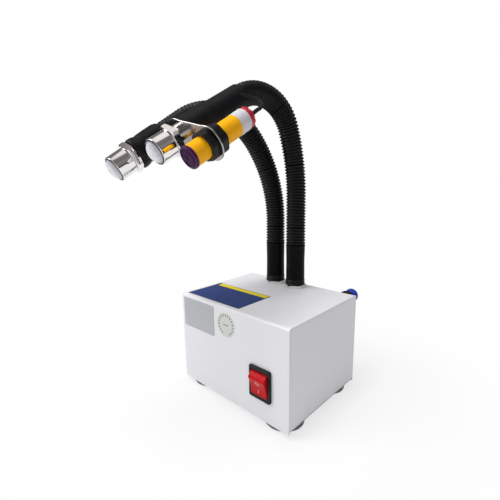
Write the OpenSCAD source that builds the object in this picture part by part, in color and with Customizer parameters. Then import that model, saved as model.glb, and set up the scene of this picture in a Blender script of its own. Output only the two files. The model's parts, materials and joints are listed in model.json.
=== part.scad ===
// Twin-neck ionising air blower with a photoelectric trigger
// A folded sheet-metal supply box carries two bendable necks, each with an ionising nozzle at its end.
// The right neck also holds the sensor that starts the air.
// Millimetres, +Z up, the front of the box faces -Y. Origin: bench level under the middle of the box.

/* [Box] */
// Width of the box, side to side
box_w = 146; // [140:1:180]
// Depth of the box, front to back
box_d = 116.5; // [112:0.5:150]
// Height of the box without its feet
box_h = 98; // [94:1:130]
// Thickness of the folded sheet
sheet = 1.5; // [1:0.1:2]
// Outside radius of the folds
fold_r = 3; // [2.5:0.5:4]
// Depth of the cover lips that lie on the base pan
lip_w = 11; // [9:0.5:13]
// Gap between the walls of the cover and the walls of the base pan
seam = 0.2; // [0.1:0.05:0.5]

/* [Feet and screws] */
// Diameter of a rubber foot
foot_d = 38; // [26:1:39]
// Height of a rubber foot
foot_h = 4.5; // [4:0.5:10]
// Distance from the box sides to the middle of a foot
foot_inset = 20.5; // [20:0.5:24]
// Thread diameter of the panel screws
screw_d = 3; // [2.5:0.5:4]
// Length of a panel screw under its head
screw_len = 7; // [6:0.5:9]
// Distance of the lip screws from the middle of the box
screw_x = 24; // [12:1:30]

/* [Switch] */
// Width of the switch bezel
bezel_w = 25; // [24:0.5:30]
// Height of the switch bezel
bezel_h = 31; // [30.5:0.5:36]
// Thickness of the bezel in front of the cover
bezel_t = 2.2; // [1.6:0.1:2.6]
// Distance from the right side of the box to the middle of the switch
switch_inset = 31.8; // [28:0.2:40]
// Height of the middle of the switch above the box bottom
switch_rise = 36.8; // [32:0.2:48]
// Width of the rocker
rocker_w = 19; // [15:0.2:19.2]
// Height of the flat face of the rocker
rocker_face = 17.6; // [15:0.2:17.8]
// Distance from the rocker pivot to its flat face
rocker_reach = 10.9; // [10.2:0.1:11]
// Depth of the rocker pivot behind the front of the cover
pivot_depth = 5.6; // [5:0.1:7]
// Tilt of the rocker to each side
rocker_tilt = 14; // [8:0.5:14]
// Depth of the switch housing behind the front of the cover
switch_depth = 22; // [18:0.5:24]

/* [Air fitting] */
// Outside diameter of the air tube that plugs in
tube_d = 8; // [6:1:8]
// Distance from the right side of the box to the fitting
fitting_inset = 16; // [15.5:0.5:19]
// Depth of the fitting below the top of the box
fitting_drop = 9; // [9:0.5:13]
// Width over the flats of the fitting
fitting_af = 16; // [14:0.5:16]
// Diameter of the round body of the fitting
fitting_d = 14; // [13.5:0.5:15.5]
// Length of the round body of the fitting
fitting_len = 7; // [6:0.5:9]
// Travel of the release collar
collar_travel = 1.5; // [1:0.1:2]
// Diameter of the release collar
collar_d = 15; // [14:0.1:16]
// Length of the release collar outside the fitting
collar_len = 9; // [7:0.5:11]
// Length of the wide rim of the release collar
collar_rim = 4; // [3:0.5:5]

/* [Power inlet] */
// Sideways place of the power inlet, from the middle of the box
inlet_x = -30; // [-34:1:-26]
// Height of the power inlet above the box bottom
inlet_rise = 32; // [26:1:38]
// Width of the inlet flange
inlet_w = 50; // [48:0.5:52]
// Height of the inlet flange
inlet_h = 23; // [22:0.5:26]
// Depth of the plug socket behind the face of the flange
socket_depth = 15.5; // [14:0.5:17]

/* [Necks] */
// Outside diameter of the corrugated hose
hose_od = 22; // [21:0.1:22.4]
// Inside diameter of the corrugated hose
hose_id = 15; // [13:0.5:15]
// Depth of the grooves
groove = 1.6; // [0.8:0.1:1.7]
// Distance from one ridge to the next
hose_pitch = 3.25; // [2.9:0.05:3.4]
// Ridges in each place where a neck bends
bend_ridges = 4; // [3:1:5]
// Clear gap between the two necks at the box
neck_gap = 7; // [6:0.5:10]
// Distance from the back of the box to the middle of a neck
neck_inset = 15; // [14.5:0.5:20]
// Sideways place of the middle between the necks
neck_mid = -9.5; // [-14:0.5:-8]
// Diameter of the smooth cuff at the foot of a neck
cuff_d = 21; // [20:0.1:22]
// Height of the top of a cuff above the box
cuff_top = 49; // [40:1:58]
// Width over the flats of a neck gland
gland_af = 22; // [21:0.5:23]
// Height of the hex of a neck gland
gland_h = 3; // [2.5:0.5:6]
// Gap between pieces of a neck that move on each other
slit = 0.3; // [0.3:0.05:0.5]

/* [Right neck] */
// Turn of the right neck to the left of straight ahead
right_yaw = 6.5; // [4:0.5:8]
// Straight rise of the right neck above the box
right_rise = 101; // [94:1:110]
// Radius of the wide lower bend of the right neck
right_sweep_r = 199; // [180:1:240]
// Angle of the wide lower bend of the right neck
right_sweep = 21; // [16:0.5:26]
// Radius of the tight upper bend of the right neck
right_arch_r = 43.5; // [40:0.5:48]
// Angle of the right nozzle below level
right_dip = 31.5; // [25:0.5:36]
// Ridges in the four stiff lengths of the right neck
right_runs = [5, 28, 5, 4]; // [3:1:30]
// Length of the right sleeve
right_sleeve_len = 72; // [64:0.5:76]

/* [Left neck] */
// Turn of the left neck to the left of straight ahead
left_yaw = 9.5; // [8.5:0.5:12]
// Straight rise of the left neck above the box
left_rise = 74; // [68:1:80]
// Radius of the wide lower bend of the left neck
left_sweep_r = 139; // [130:1:150]
// Angle of the wide lower bend of the left neck
left_sweep = 40; // [36:0.5:44]
// Radius of the tight upper bend of the left neck
left_arch_r = 60.5; // [56:0.5:65]
// Angle of the left nozzle below level
left_dip = 34.5; // [30:0.5:38]
// Ridges in the four stiff lengths of the left neck
left_runs = [5, 28, 9, 11]; // [3:1:30]
// Length of the left sleeve
left_sleeve_len = 31.5; // [28:0.5:38]

/* [Nozzles] */
// Diameter of the nozzle stem that carries the head
stem_d = 16; // [14.5:0.1:16.4]
// Diameter of the nozzle cap
cap_d = 22.2; // [21.6:0.1:24]
// Length of the nozzle cap
cap_len = 15.5; // [13:0.5:18]
// Wall of the nozzle cap
cap_wall = 1; // [0.8:0.1:1.4]
// Width over the flats of the hex flange
flange_af = 24; // [23:0.5:26]
// Thickness of the hex flange
flange_t = 5.5; // [4:0.5:7]
// Length of the round shank behind the right hex flange
right_shank = 6.5; // [5:0.5:10]
// Length of the round shank behind the left hex flange
left_shank = 1; // [1:0.5:3]
// Diameter of the round shank
shank_d = 19.6; // [18:0.2:21]
// Largest diameter of a sleeve
sleeve_d = 27; // [25.5:0.1:28]
// Width of the ring-shaped air slot round the tip
slot_w = 0.6; // [0.4:0.1:1]
// Height of the dome of the tip in front of the cap
dome_h = 2.6; // [1.5:0.1:3.5]

/* [Sensor] */
// Diameter of the sensor barrel
sensor_d = 18; // [16.5:0.1:18.5]
// Length of the sensor
sensor_len = 67; // [62:0.5:69]
// Distance from the nozzle axis to the sensor axis
sensor_off = 34.8; // [33:0.1:40]
// Angle of the sensor below the level of the nozzle axis
sensor_turn = 18; // [10:1:26]
// Distance from the bracket to the front of the lens
sensor_set = 22; // [19:0.5:25]
// Diameter of the lens
lens_d = 18.6; // [18:0.2:21]
// Thickness of the lens
lens_t = 3; // [2:0.5:4]
// Width over the flats of the sensor nuts
nut_af = 24; // [23.5:0.5:25]
// Thickness of a sensor nut
nut_t = 6.5; // [5:0.5:8]
// Thickness of the bracket plate
bracket_t = 1.4; // [1.2:0.1:3]
// Radius of the rounded ends of the bracket plate
bracket_r = 14.5; // [13.5:0.1:16]
// Diameter of the sensor lead
lead_d = 3.4; // [2.4:0.1:3.6]
// Diameter of the sensitivity screw
trim_d = 3.6; // [3:0.1:4]

/* [Inside] */
// Width of the high-voltage module
module_w = 66; // [50:1:66]
// Depth of the high-voltage module
module_d = 36; // [28:1:38]
// Height of the high-voltage module
module_h = 30; // [22:1:34]
// Width of the control board
board_w = 44; // [40:1:44]
// Depth of the control board
board_d = 54; // [46:1:56]
// Height of the standoffs under the control board
standoff_h = 8; // [5:0.5:10]
// Height of the valve body
valve_h = 30; // [26:1:32]
// Width of the valve body
valve_w = 22; // [20:0.5:23]
// Depth of the valve body
valve_d = 26; // [22:0.5:28]
// Height of the valve coil
coil_h = 26; // [22:1:28]
// Diameter of the air line in each neck
line_d = 8; // [6:0.5:8]
// Diameter of a high-voltage lead
wire_d = 3; // [2.4:0.2:3.4]

/* [Hidden] */
$fn = 64;
fit_gap = 0.1;
run_gap = 0.3;
over = 1;

top_z = foot_h + box_h;
floor_z = foot_h + sheet;
front_y = -box_d / 2;
rear_y = box_d / 2;
pan_h = box_h - sheet - seam;
pan_d = box_d - 2 * (sheet + seam);
lip_len = box_w - 2 * fold_r - 2;
lip_screw_y = box_d / 2 - sheet - lip_w / 2;
head_r = 0.95 * screw_d;
head_h = 0.65 * screw_d;

switch_x = box_w / 2 - switch_inset;
switch_z = foot_h + switch_rise;
pivot_y = front_y + pivot_depth;
end_r = sqrt(rocker_reach * rocker_reach + rocker_face * rocker_face / 4);
rocker_half = end_r - 1.5;
rocker_back = 3;
dish = 0.9;
dish_half = rocker_face / 2 - 0.8;
dish_r = (dish_half * dish_half + dish * dish) / (2 * dish);
well_r = end_r + run_gap;
well_half = end_r;
well_back = rocker_back * cos(rocker_tilt) + rocker_half * sin(rocker_tilt) + run_gap;
well_w = rocker_w + 2 * run_gap;
pin_r = 1.5;
pin_len = 1;
switch_w = bezel_w - 2;
switch_h = bezel_h - 1.4;

fitting_x = box_w / 2 - fitting_inset;
fitting_z = top_z - fitting_drop;
fitting_hex = 6;
fitting_end = fitting_hex + fitting_len;
bore_r = tube_d / 2 + fit_gap;
collar_wall = 1.5;
collar_r = bore_r + collar_wall;
collar_in = 8;
collar_gap = collar_travel + 0.5;
collar_end = collar_gap + collar_len;
collar_neck_r = collar_r + 0.8;
collar_edge = 1;
stub_r = 5;
stub_len = 8;

inlet_z = foot_h + inlet_rise;
inlet_t = 2.5;
inlet_screw = inlet_w / 2 - 5;
socket_w = 24.5;
socket_h = 16.5;
socket_cut = 5;
shell_w = socket_w + 2.5;
shell_h = socket_h + 3;
pins = [[0, 4], [-7, 0], [7, 0]];
pin_w = 2;
pin_h = 4;

hose_sides = 12;
rod_sides = 8;
root_r = hose_od / 2 - groove;
neck_step = hose_od + neck_gap;
neck_y = rear_y - neck_inset;
spigot_r = hose_id / 2;
spigot_len = 15;
gland_r = 8;
gland_bore = line_d / 2 + 0.6;
locknut_t = 4;
right_neck = [neck_mid + neck_step / 2, right_yaw, right_rise, right_sweep_r, right_sweep,
    right_arch_r, right_dip, right_runs];
left_neck = [neck_mid - neck_step / 2, left_yaw, left_rise, left_sweep_r, left_sweep,
    left_arch_r, left_dip, left_runs];

right_flange_z = right_sleeve_len + bracket_t;
web_half = bracket_r - 0.5;
left_flange_z = left_sleeve_len;
right_hex_z = right_flange_z + right_shank;
left_hex_z = left_flange_z + left_shank;
right_rim = right_hex_z + flange_t + cap_len;
left_rim = left_hex_z + flange_t + cap_len;
stem_start = 2;
stem_back = 6;
plug_len = 10;
sleeve_rear_r = hose_od / 2 + 1.2;
tip_post = 5;
needle_r = 0.8;
stem_web = 10;
seat_depth = 8;
jet_r = 0.8;
jet_len = 5;

sensor_x = sensor_off * cos(sensor_turn);
sensor_y = -sensor_off * sin(sensor_turn);
sensor_front = right_flange_z + sensor_set;
sensor_rear = sensor_front - sensor_len;
end_cap_t = 5;
lead_r = lead_d / 2;
trim_off = 5.5;
trim_depth = 2;
lead_end = [10.5, 4, 8.5];
lead_turn = [14, -2.3, 0.6];
lead_cut = norm(lead_end - lead_turn) + 3;
lead_path = [[sensor_x, sensor_y, sensor_rear], [sensor_x, sensor_y, sensor_rear - 7],
    [sensor_x - 1, sensor_y, sensor_rear - 13], [sensor_x - 3, sensor_y - 0.5, sensor_rear - 18.5],
    [sensor_x - 7, sensor_y, sensor_rear - 26], [sensor_x - 13, sensor_y + 3, sensor_rear - 29.5],
    lead_turn, (lead_turn + lead_end) / 2, lead_end];

module_x = -box_w / 2 + sheet + 6 + module_w / 2;
module_y = front_y + lip_w + 3 + module_d / 2;
tower_h = 8;
tower_r = 4;
board_x = box_w / 2 - sheet - 4 - board_w / 2;
board_y = 4;
board_z = floor_z + standoff_h;
board_t = 1.6;
board_hole = 4;
relay = [16, 20, 15];
relay_x = 2 * board_hole + 1 - board_w / 2;
terminal = [28, 8, 10];
can_r = 4;
can_h = 12;
solder = 0.2;
valve_y = rear_y - sheet - 0.5 - valve_d / 2;
valve_top = top_z - sheet - 0.5;
manifold_w = neck_step + 20;
manifold_d = 16;
manifold_h = 18;
manifold_top = top_z - 14;
manifold_seat = 5;
outlet_z = manifold_top - manifold_h + 6;
outlet_in = 5;
wire_z = manifold_top - manifold_h / 2;
wire_in = 3;

white = [0.93, 0.94, 0.94];
black = [0.09, 0.09, 0.1];
rubber = [0.13, 0.13, 0.13];
bright = [0.8, 0.81, 0.83];
brass = [0.78, 0.62, 0.28];

// Flat shapes

// Rectangle standing on the X line with its two upper corners rounded
module round_top(w, h, r) {
    translate([-w / 2, 0]) square([w, h - r]);
    translate([-w / 2 + r, 0]) square([w - 2 * r, h]);
    for (s = [-1, 1]) translate([s * (w / 2 - r), h - r]) circle(r);
}

// Rectangle about the middle with four rounded corners
module round_rect(w, h, r) {
    square([w, h - 2 * r], center = true);
    square([w - 2 * r, h], center = true);
    for (a = [-1, 1], b = [-1, 1]) translate([a * (w / 2 - r), b * (h / 2 - r)]) circle(r);
}

// Hexagon by its width over the flats, with flats to the left and right
module hex(af) rotate(30) circle(af / sqrt(3), $fn = 6);

// Flat shape drawn in Y and Z, made solid along X about the middle
module along_x(len) rotate([90, 0, 90]) linear_extrude(len, center = true) children();

// Flat shape drawn in X and Z, made solid along Y about the middle
module along_y(len) rotate([90, 0, 0]) linear_extrude(len, center = true) children();

// Pieces at the back of the box, drawn with their own Z pointing out of the back
module at_rear(x, z) translate([x, rear_y, z]) rotate([-90, 0, 0]) children();

// Hex prism with its corners turned off at one or both ends
module turned_hex(af, h, low = true) {
    r = af / sqrt(3);
    c = (r - af / 2) * 0.8;
    t = 0.6 * c;
    intersection() {
        linear_extrude(h) hex(af);
        rotate_extrude() polygon([[0, 0], [low ? r - c : r, 0], [r, low ? t : 0], [r, h - t], [r - c, h],
            [0, h]]);
    }
}

// Tubes and rods that follow a line

// Two triangles for each side between ring a and ring b
function ring_faces(a, b, sides) = [for (j = [0 : sides - 1], k = [0, 1]) let (i = (j + 1) % sides)
    k == 0 ? [a + j, b + j, b + i] : [a + j, b + i, a + i]];

// Closed skin over rings that run out along the outside and back along the inside
module ring_shell(rings, sides) {
    n = len(rings);
    polyhedron(points = [for (r = rings) each r],
        faces = [for (k = [0 : n - 1]) each ring_faces(k * sides, ((k + 1) % n) * sides, sides)]);
}

// Solid rod through rings, closed at both ends
module ring_rod(rings, sides) {
    n = len(rings);
    first = [for (j = [0 : sides - 1]) j];
    last = [for (j = [sides - 1 : -1 : 0]) (n - 1) * sides + j];
    polyhedron(points = [for (r = rings) each r],
        faces = concat([first], [for (k = [0 : n - 2]) each ring_faces(k * sides, (k + 1) * sides, sides)],
            [last]));
}

function unit(v) = v / norm(v);

// Smooth curve through a row of points
function curve(a, b, c, d, t) = 0.5 * (2 * b + (c - a) * t + (2 * a - 5 * b + 4 * c - d) * t * t
    + (3 * b - a - 3 * c + d) * t * t * t);
function smooth(p, n) = concat([for (i = [0 : len(p) - 2], k = [0 : n - 1])
    curve(p[max(i - 1, 0)], p[i], p[i + 1], p[min(i + 2, len(p) - 1)], k / n)], [p[len(p) - 1]]);

// Ring of points round place c, square to direction w; the side vector keeps rings in step
function ring(c, w, side, r, sides) = let (b = unit(side - (side * w) * w), a = cross(b, w))
    [for (j = [0 : sides - 1]) c + r * (cos(360 * j / sides) * a + sin(360 * j / sides) * b)];

// Round cord of radius r through a row of points
module cord(points, side, r) {
    p = smooth(points, 3);
    n = len(p) - 1;
    ring_rod([for (i = [0 : n]) ring(p[i], unit(p[min(i + 1, n)] - p[max(i - 1, 0)]), side, r, rod_sides)],
        rod_sides);
}

// Bendable necks

// A neck: foot, turn, rise, lower bend radius and angle, upper bend radius, dip, ridges of its lengths
function arc(r, a) = PI * r * a / 180;
function turned(p, r, a) = [p[0] + r * (sin(p[2]) - sin(p[2] - a)), p[1] + r * (cos(p[2] - a) - cos(p[2])),
    p[2] - a];
function ahead(p, d) = [p[0] + d * cos(p[2]), p[1] + d * sin(p[2]), p[2]];

// Sections of a neck count from the cuff: bend, length, bend, length and so on, nine in all
function part_len(n, i) = hose_pitch * (i % 2 == 0 ? bend_ridges : n[7][(i - 1) / 2]);
function part_start(n, i) = i == 0 ? cuff_top : part_start(n, i - 1) + part_len(n, i - 1);
function hose_end(n) = part_start(n, 9);

// Distance ahead, height and heading of the neck line, l along it from the box top
function on_line(n, l) = let (a = 90 - n[4] + n[6], l2 = n[2] + arc(n[3], n[4]), l3 = l2 + arc(n[5], a),
    p1 = [0, n[2], 90], p2 = turned(p1, n[3], n[4]))
    l <= n[2] ? [0, l, 90]
    : l <= l2 ? turned(p1, n[3], (l - n[2]) * 180 / PI / n[3])
    : l <= l3 ? turned(p2, n[5], (l - l2) * 180 / PI / n[5])
    : ahead(turned(p2, n[5], a), l - l3);
function on_neck(n, l) = l <= hose_end(n) ? on_line(n, l)
    : ahead(on_line(n, hose_end(n)), l - hose_end(n));
function fore(n) = [-sin(n[1]), -cos(n[1]), 0];
function side(n) = [cos(n[1]), -sin(n[1]), 0];
function place(n, p) = [n[0], neck_y, top_z] + p[0] * fore(n) + [0, 0, p[1]];
function way(n, p) = cos(p[2]) * fore(n) + [0, 0, sin(p[2])];
function rise(n, p) = -sin(p[2]) * fore(n) + [0, 0, cos(p[2])];
function neck_ring(n, l, r, sides) = let (p = on_neck(n, l), c = place(n, p), v = rise(n, p))
    [for (j = [0 : sides - 1]) c + r * (cos(360 * j / sides) * side(n) + sin(360 * j / sides) * v)];

// One section of corrugated hose, hollow, with a ridge on every pitch
module hose(n, i) {
    l0 = part_start(n, i) + (i % 2 == 1 ? slit : 0);
    l1 = part_start(n, i) + part_len(n, i);
    m = 2 * round(part_len(n, i) / hose_pitch);
    k = max(1, round(m / 6));
    color(black) ring_shell(concat(
        [for (j = [0 : m])
            neck_ring(n, l0 + (l1 - l0) * j / m, j % 2 == 0 ? root_r : hose_od / 2, hose_sides)],
        [for (j = [k : -1 : 0]) neck_ring(n, l0 + (l1 - l0) * j / k, hose_id / 2, hose_sides)]), hose_sides);
}

// Air line from the manifold up through a neck into its nozzle
module air_line(n) {
    l0 = outlet_z + 1 - top_z;
    l1 = hose_end(n) + plug_len;
    m = round((l1 - l0) / 6);
    color("steelblue") ring_rod(
        [for (j = [0 : m]) neck_ring(n, l0 + (l1 - l0) * j / m, line_d / 2, rod_sides)],
        rod_sides);
}

// Smooth cuff at the foot of a neck, with three rings round its lower end
module cuff(n) {
    r = cuff_d / 2;
    ringed = 6;
    translate([n[0], neck_y, top_z]) color(rubber) rotate_extrude() {
        translate([spigot_r + fit_gap, gland_h]) square([r - 0.4 - spigot_r - fit_gap, cuff_top - gland_h]);
        translate([spigot_r + fit_gap, gland_h + ringed]) square([r - spigot_r - fit_gap,
            cuff_top - gland_h - ringed]);
        for (k = [0 : 2]) translate([r - 0.5, gland_h + 1 + 2 * k]) circle(0.8, $fn = 24);
    }
}

// Box

module base_pan() color(white) difference() {
    union() {
        translate([0, 0, foot_h]) intersection() {
            along_y(pan_d) difference() {
                translate([0, pan_h + fold_r]) mirror([0, 1]) round_top(box_w, pan_h + fold_r, fold_r);
                translate([0, pan_h + fold_r + over]) mirror([0, 1])
                    round_top(box_w - 2 * sheet, pan_h + fold_r + over - sheet, fold_r - sheet);
            }
            along_x(box_w + over) round_top(pan_d, pan_h, fold_r - sheet);
        }
        for (a = [-1, 1], b = [-1, 1]) translate([board_x + a * (board_w / 2 - board_hole),
            board_y + b * (board_d / 2 - board_hole), floor_z - 0.5]) cylinder(h = standoff_h + 0.5, r = 3);
    }
    for (a = [-1, 1], b = [-1, 1]) {
        translate([a * screw_x, b * lip_screw_y, foot_h - over])
            cylinder(h = sheet + 2 * over, d = screw_d + 4 * fit_gap);
        translate([board_x + a * (board_w / 2 - board_hole), board_y + b * (board_d / 2 - board_hole),
            board_z + board_t - screw_len - fit_gap])
            cylinder(h = screw_len + over, d = screw_d + 2 * fit_gap);
    }
}

module cover() color(white) difference() {
    translate([0, 0, foot_h]) {
        along_x(box_w) difference() {
            round_top(box_d, box_h, fold_r);
            translate([0, -over]) round_top(box_d - 2 * sheet, box_h - sheet + over, fold_r - sheet);
        }
        for (s = [-1, 1]) translate([0, s * (box_d / 2 - lip_w / 2 - sheet / 2), 1.5 * sheet])
            cube([lip_len, lip_w, sheet], center = true);
    }
    for (a = [-1, 1], b = [-1, 1]) translate([a * screw_x, b * lip_screw_y, foot_h])
        cylinder(h = 3 * sheet, d = screw_d + 2 * fit_gap);
    translate([switch_x, front_y, switch_z])
        cube([switch_w + 2 * fit_gap, 4 * sheet, switch_h + 2 * fit_gap], center = true);
    for (n = [right_neck, left_neck]) translate([n[0], neck_y, top_z - 2 * sheet])
        cylinder(h = 4 * sheet, r = gland_r + fit_gap);
    at_rear(fitting_x, fitting_z) cylinder(h = 4 * sheet, r = stub_r + fit_gap, center = true);
    at_rear(inlet_x, inlet_z) cube([shell_w + 2 * fit_gap, shell_h + 2 * fit_gap, 4 * sheet], center = true);
    for (s = [-1, 1]) at_rear(inlet_x + s * inlet_screw, inlet_z)
        cylinder(h = 4 * sheet, d = screw_d + 2 * fit_gap, center = true);
}

module rubber_feet() color(rubber) for (a = [-1, 1], b = [-1, 1])
    translate([a * (box_w / 2 - foot_inset), b * (box_d / 2 - foot_inset), 0]) rotate_extrude() difference() {
        union() {
            square([foot_d / 2 - 1.5, foot_h]);
            translate([0, 1.5]) square([foot_d / 2, foot_h - 2]);
            translate([foot_d / 2 - 1.5, 1.5]) circle(1.5);
            translate([0, foot_h - 1]) square([foot_d / 2 - 0.6, 1]);
        }
        translate([-over, -over]) square([foot_d / 2 - 4 + over, 0.6 + over]);
    }

// Round-headed screw along Z, seated at zero with its head above
module screw() {
    translate([0, 0, -screw_len]) cylinder(h = screw_len, d = screw_d);
    rotate_extrude() {
        square([head_r, 0.5 * head_h]);
        intersection() {
            square([head_r, head_h]);
            translate([0, head_h - 1.6 * head_r]) circle(1.6 * head_r);
        }
    }
}

module panel_screws() color(bright) {
    for (a = [-1, 1], b = [-1, 1]) {
        translate([a * screw_x, b * lip_screw_y, foot_h]) rotate([180, 0, 0]) screw();
        translate([board_x + a * (board_w / 2 - board_hole), board_y + b * (board_d / 2 - board_hole),
            board_z + board_t]) screw();
    }
    for (s = [-1, 1]) at_rear(inlet_x + s * inlet_screw, inlet_z) translate([0, 0, inlet_t]) screw();
}

// Switch

module switch_housing() color(black) translate([switch_x, front_y, switch_z]) difference() {
    union() {
        translate([0, -bezel_t / 2, 0]) along_y(bezel_t) round_rect(bezel_w, bezel_h, 1.5);
        translate([0, switch_depth / 2 - bezel_t / 2, 0])
            cube([switch_w, switch_depth + bezel_t, switch_h], center = true);
    }
    translate([0, pivot_depth, 0]) {
        along_x(well_w) intersection() {
            circle(well_r);
            translate([-2 * end_r, -well_half]) square([2 * end_r + well_back, 2 * well_half]);
        }
        rotate([0, 90, 0]) cylinder(h = switch_w + over, r = pin_r + run_gap, center = true);
    }
}

module switch_rocker() color("firebrick") translate([switch_x, pivot_y, switch_z])
    rotate([rocker_tilt, 0, 0]) {
        along_x(rocker_w) difference() {
            intersection() {
                circle(end_r);
                translate([-rocker_reach, -rocker_half])
                    square([rocker_reach + rocker_back, 2 * rocker_half]);
            }
            translate([dish - rocker_reach - dish_r, 0]) circle(dish_r);
        }
        rotate([0, 90, 0]) cylinder(h = rocker_w + 2 * pin_len, r = pin_r, center = true);
    }

// Air fitting and power inlet

module air_fitting() color(black) at_rear(fitting_x, fitting_z) difference() {
    union() {
        turned_hex(fitting_af, fitting_hex, false);
        translate([0, 0, fitting_hex]) cylinder(h = fitting_len, d = fitting_d);
        translate([0, 0, -sheet - stub_len]) cylinder(h = sheet + stub_len + over, r = stub_r);
    }
    translate([0, 0, 3]) cylinder(h = fitting_end, r = bore_r);
    translate([0, 0, fitting_end - collar_in - collar_travel - run_gap])
        cylinder(h = fitting_end, r = collar_r + run_gap);
    translate([0, 0, -sheet - stub_len - over]) cylinder(h = fitting_end, r = 2.5);
}

// Sleeve that slides in the fitting, flared to a rounded rim outside
module fitting_collar() color([0.1, 0.17, 0.6]) at_rear(fitting_x, fitting_z) translate([0, 0, fitting_end])
    rotate_extrude() polygon([[bore_r, -collar_in], [collar_r, -collar_in], [collar_r, collar_gap],
        [collar_neck_r, collar_gap], [collar_neck_r, collar_end - collar_rim - collar_edge],
        [collar_d / 2, collar_end - collar_rim], [collar_d / 2, collar_end - collar_edge],
        [collar_d / 2 - collar_edge, collar_end], [bore_r, collar_end]]);

module power_inlet() color(black) at_rear(inlet_x, inlet_z) difference() {
    union() {
        linear_extrude(inlet_t) round_rect(inlet_w, inlet_h, 4);
        translate([-shell_w / 2, -shell_h / 2, inlet_t - socket_depth - 2])
            cube([shell_w, shell_h, socket_depth]);
    }
    translate([0, 0, inlet_t - socket_depth]) linear_extrude(socket_depth + over) polygon([
        [-socket_w / 2, socket_h / 2], [-socket_w / 2, socket_cut - socket_h / 2],
        [socket_cut - socket_w / 2, -socket_h / 2], [socket_w / 2 - socket_cut, -socket_h / 2],
        [socket_w / 2, socket_cut - socket_h / 2], [socket_w / 2, socket_h / 2]]);
    for (s = [-1, 1]) translate([s * inlet_screw, 0, -over])
        cylinder(h = inlet_t + 2 * over, d = screw_d + 2 * fit_gap);
    for (p = pins) translate([p[0], -p[1], 0])
        cube([pin_w + 2 * fit_gap, pin_h + 2 * fit_gap, 2 * socket_depth + 20], center = true);
}

module inlet_pins() color(brass) at_rear(inlet_x, inlet_z) for (p = pins)
    translate([p[0] - pin_w / 2, -p[1] - pin_h / 2, inlet_t - socket_depth - 9])
        cube([pin_w, pin_h, socket_depth + 8]);

// Inside the box

module high_voltage_module() color([0.16, 0.2, 0.3]) translate([module_x, module_y, floor_z]) difference() {
    union() {
        linear_extrude(module_h) round_rect(module_w, module_d, 3);
        for (s = [-1, 1]) translate([s * module_w / 4, module_d / 4, module_h - over])
            cylinder(h = tower_h + over, r = tower_r);
    }
    for (s = [-1, 1]) translate([s * module_w / 4, module_d / 4, module_h + tower_h - wire_in])
        cylinder(h = wire_in + over, d = wire_d + 4 * fit_gap);
}

module high_voltage_leads() color("crimson") for (n = [[-1, left_neck], [1, right_neck]]) {
    x0 = module_x + n[0] * module_w / 4;
    x1 = n[1][0];
    y0 = module_y + module_d / 4;
    y1 = neck_y - manifold_d / 2;
    z0 = floor_z + module_h + tower_h;
    cord([[x0, y0, z0 - wire_in], [x0, y0, z0 + 1], [x0, y0, z0 + 6],
        [0.7 * x0 + 0.3 * x1, y0 + 6, wire_z - 4],
        [0.3 * x0 + 0.7 * x1, y1 - 16, wire_z], [x1, y1 - 6, wire_z], [x1, y1 - 1, wire_z],
        [x1, y1 + wire_in, wire_z]], [1, 0, 0], wire_d / 2);
}

module control_board() translate([board_x, board_y, board_z]) {
    color("darkgreen") difference() {
        linear_extrude(board_t) round_rect(board_w, board_d, 2);
        for (a = [-1, 1], b = [-1, 1])
            translate([a * (board_w / 2 - board_hole), b * (board_d / 2 - board_hole), -over])
                cylinder(h = board_t + 2 * over, d = screw_d + 2 * fit_gap);
    }
    color("dimgray") translate([relay_x, -relay[1] / 2, board_t - solder]) cube(relay);
    color("seagreen") translate([-terminal[0] / 2, board_hole / 2 - board_d / 2, board_t - solder])
        cube(terminal);
    color("navy") for (a = [-1, 1])
        translate([board_w / 4, a * (can_r + 1.5), board_t - solder]) cylinder(h = can_h, r = can_r);
}

module valve_body() color(bright) difference() {
    union() {
        translate([fitting_x - valve_w / 2, valve_y - valve_d / 2, valve_top - valve_h])
            cube([valve_w, valve_d, valve_h]);
        translate([neck_mid + manifold_w / 2 - outlet_in, neck_y, outlet_z]) rotate([0, 90, 0])
            cylinder(h = fitting_x - valve_w / 2 - neck_mid - manifold_w / 2 + outlet_in + over, r = 4);
    }
    at_rear(fitting_x, fitting_z) translate([0, 0, -sheet - stub_len - 3])
        cylinder(h = stub_len + 20, r = stub_r + fit_gap);
    translate([neck_mid, neck_y, outlet_z]) rotate([0, 90, 0]) cylinder(h = fitting_x - neck_mid, r = 2.5);
}

module valve_coil() color([0.12, 0.13, 0.16]) translate([fitting_x, valve_y, valve_top - valve_h - coil_h]) {
    linear_extrude(coil_h) round_rect(valve_w - 2, valve_d - 4, 4);
    translate([0, -valve_d / 2 + 1, coil_h / 2]) cube([10, 4, 12], center = true);
}

module air_manifold() color([0.7, 0.71, 0.73]) difference() {
    translate([neck_mid - manifold_w / 2, neck_y - manifold_d / 2, manifold_top - manifold_h])
        cube([manifold_w, manifold_d, manifold_h]);
    for (n = [right_neck, left_neck]) {
        translate([n[0], neck_y, manifold_top - manifold_seat]) cylinder(h = 20, r = gland_r - 2 + fit_gap);
        translate([n[0], neck_y, outlet_z]) cylinder(h = manifold_h, r = line_d / 2 + fit_gap);
        translate([n[0], neck_y - manifold_d / 2 - over, wire_z]) rotate([-90, 0, 0])
            cylinder(h = wire_in + over, d = wire_d + 4 * fit_gap);
    }
    translate([left_neck[0], neck_y, outlet_z]) rotate([0, 90, 0]) cylinder(h = manifold_w, r = 2.5);
    translate([neck_mid + manifold_w / 2 - outlet_in, neck_y, outlet_z]) rotate([0, 90, 0])
        cylinder(h = manifold_w, r = 4 + fit_gap);
}

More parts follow.
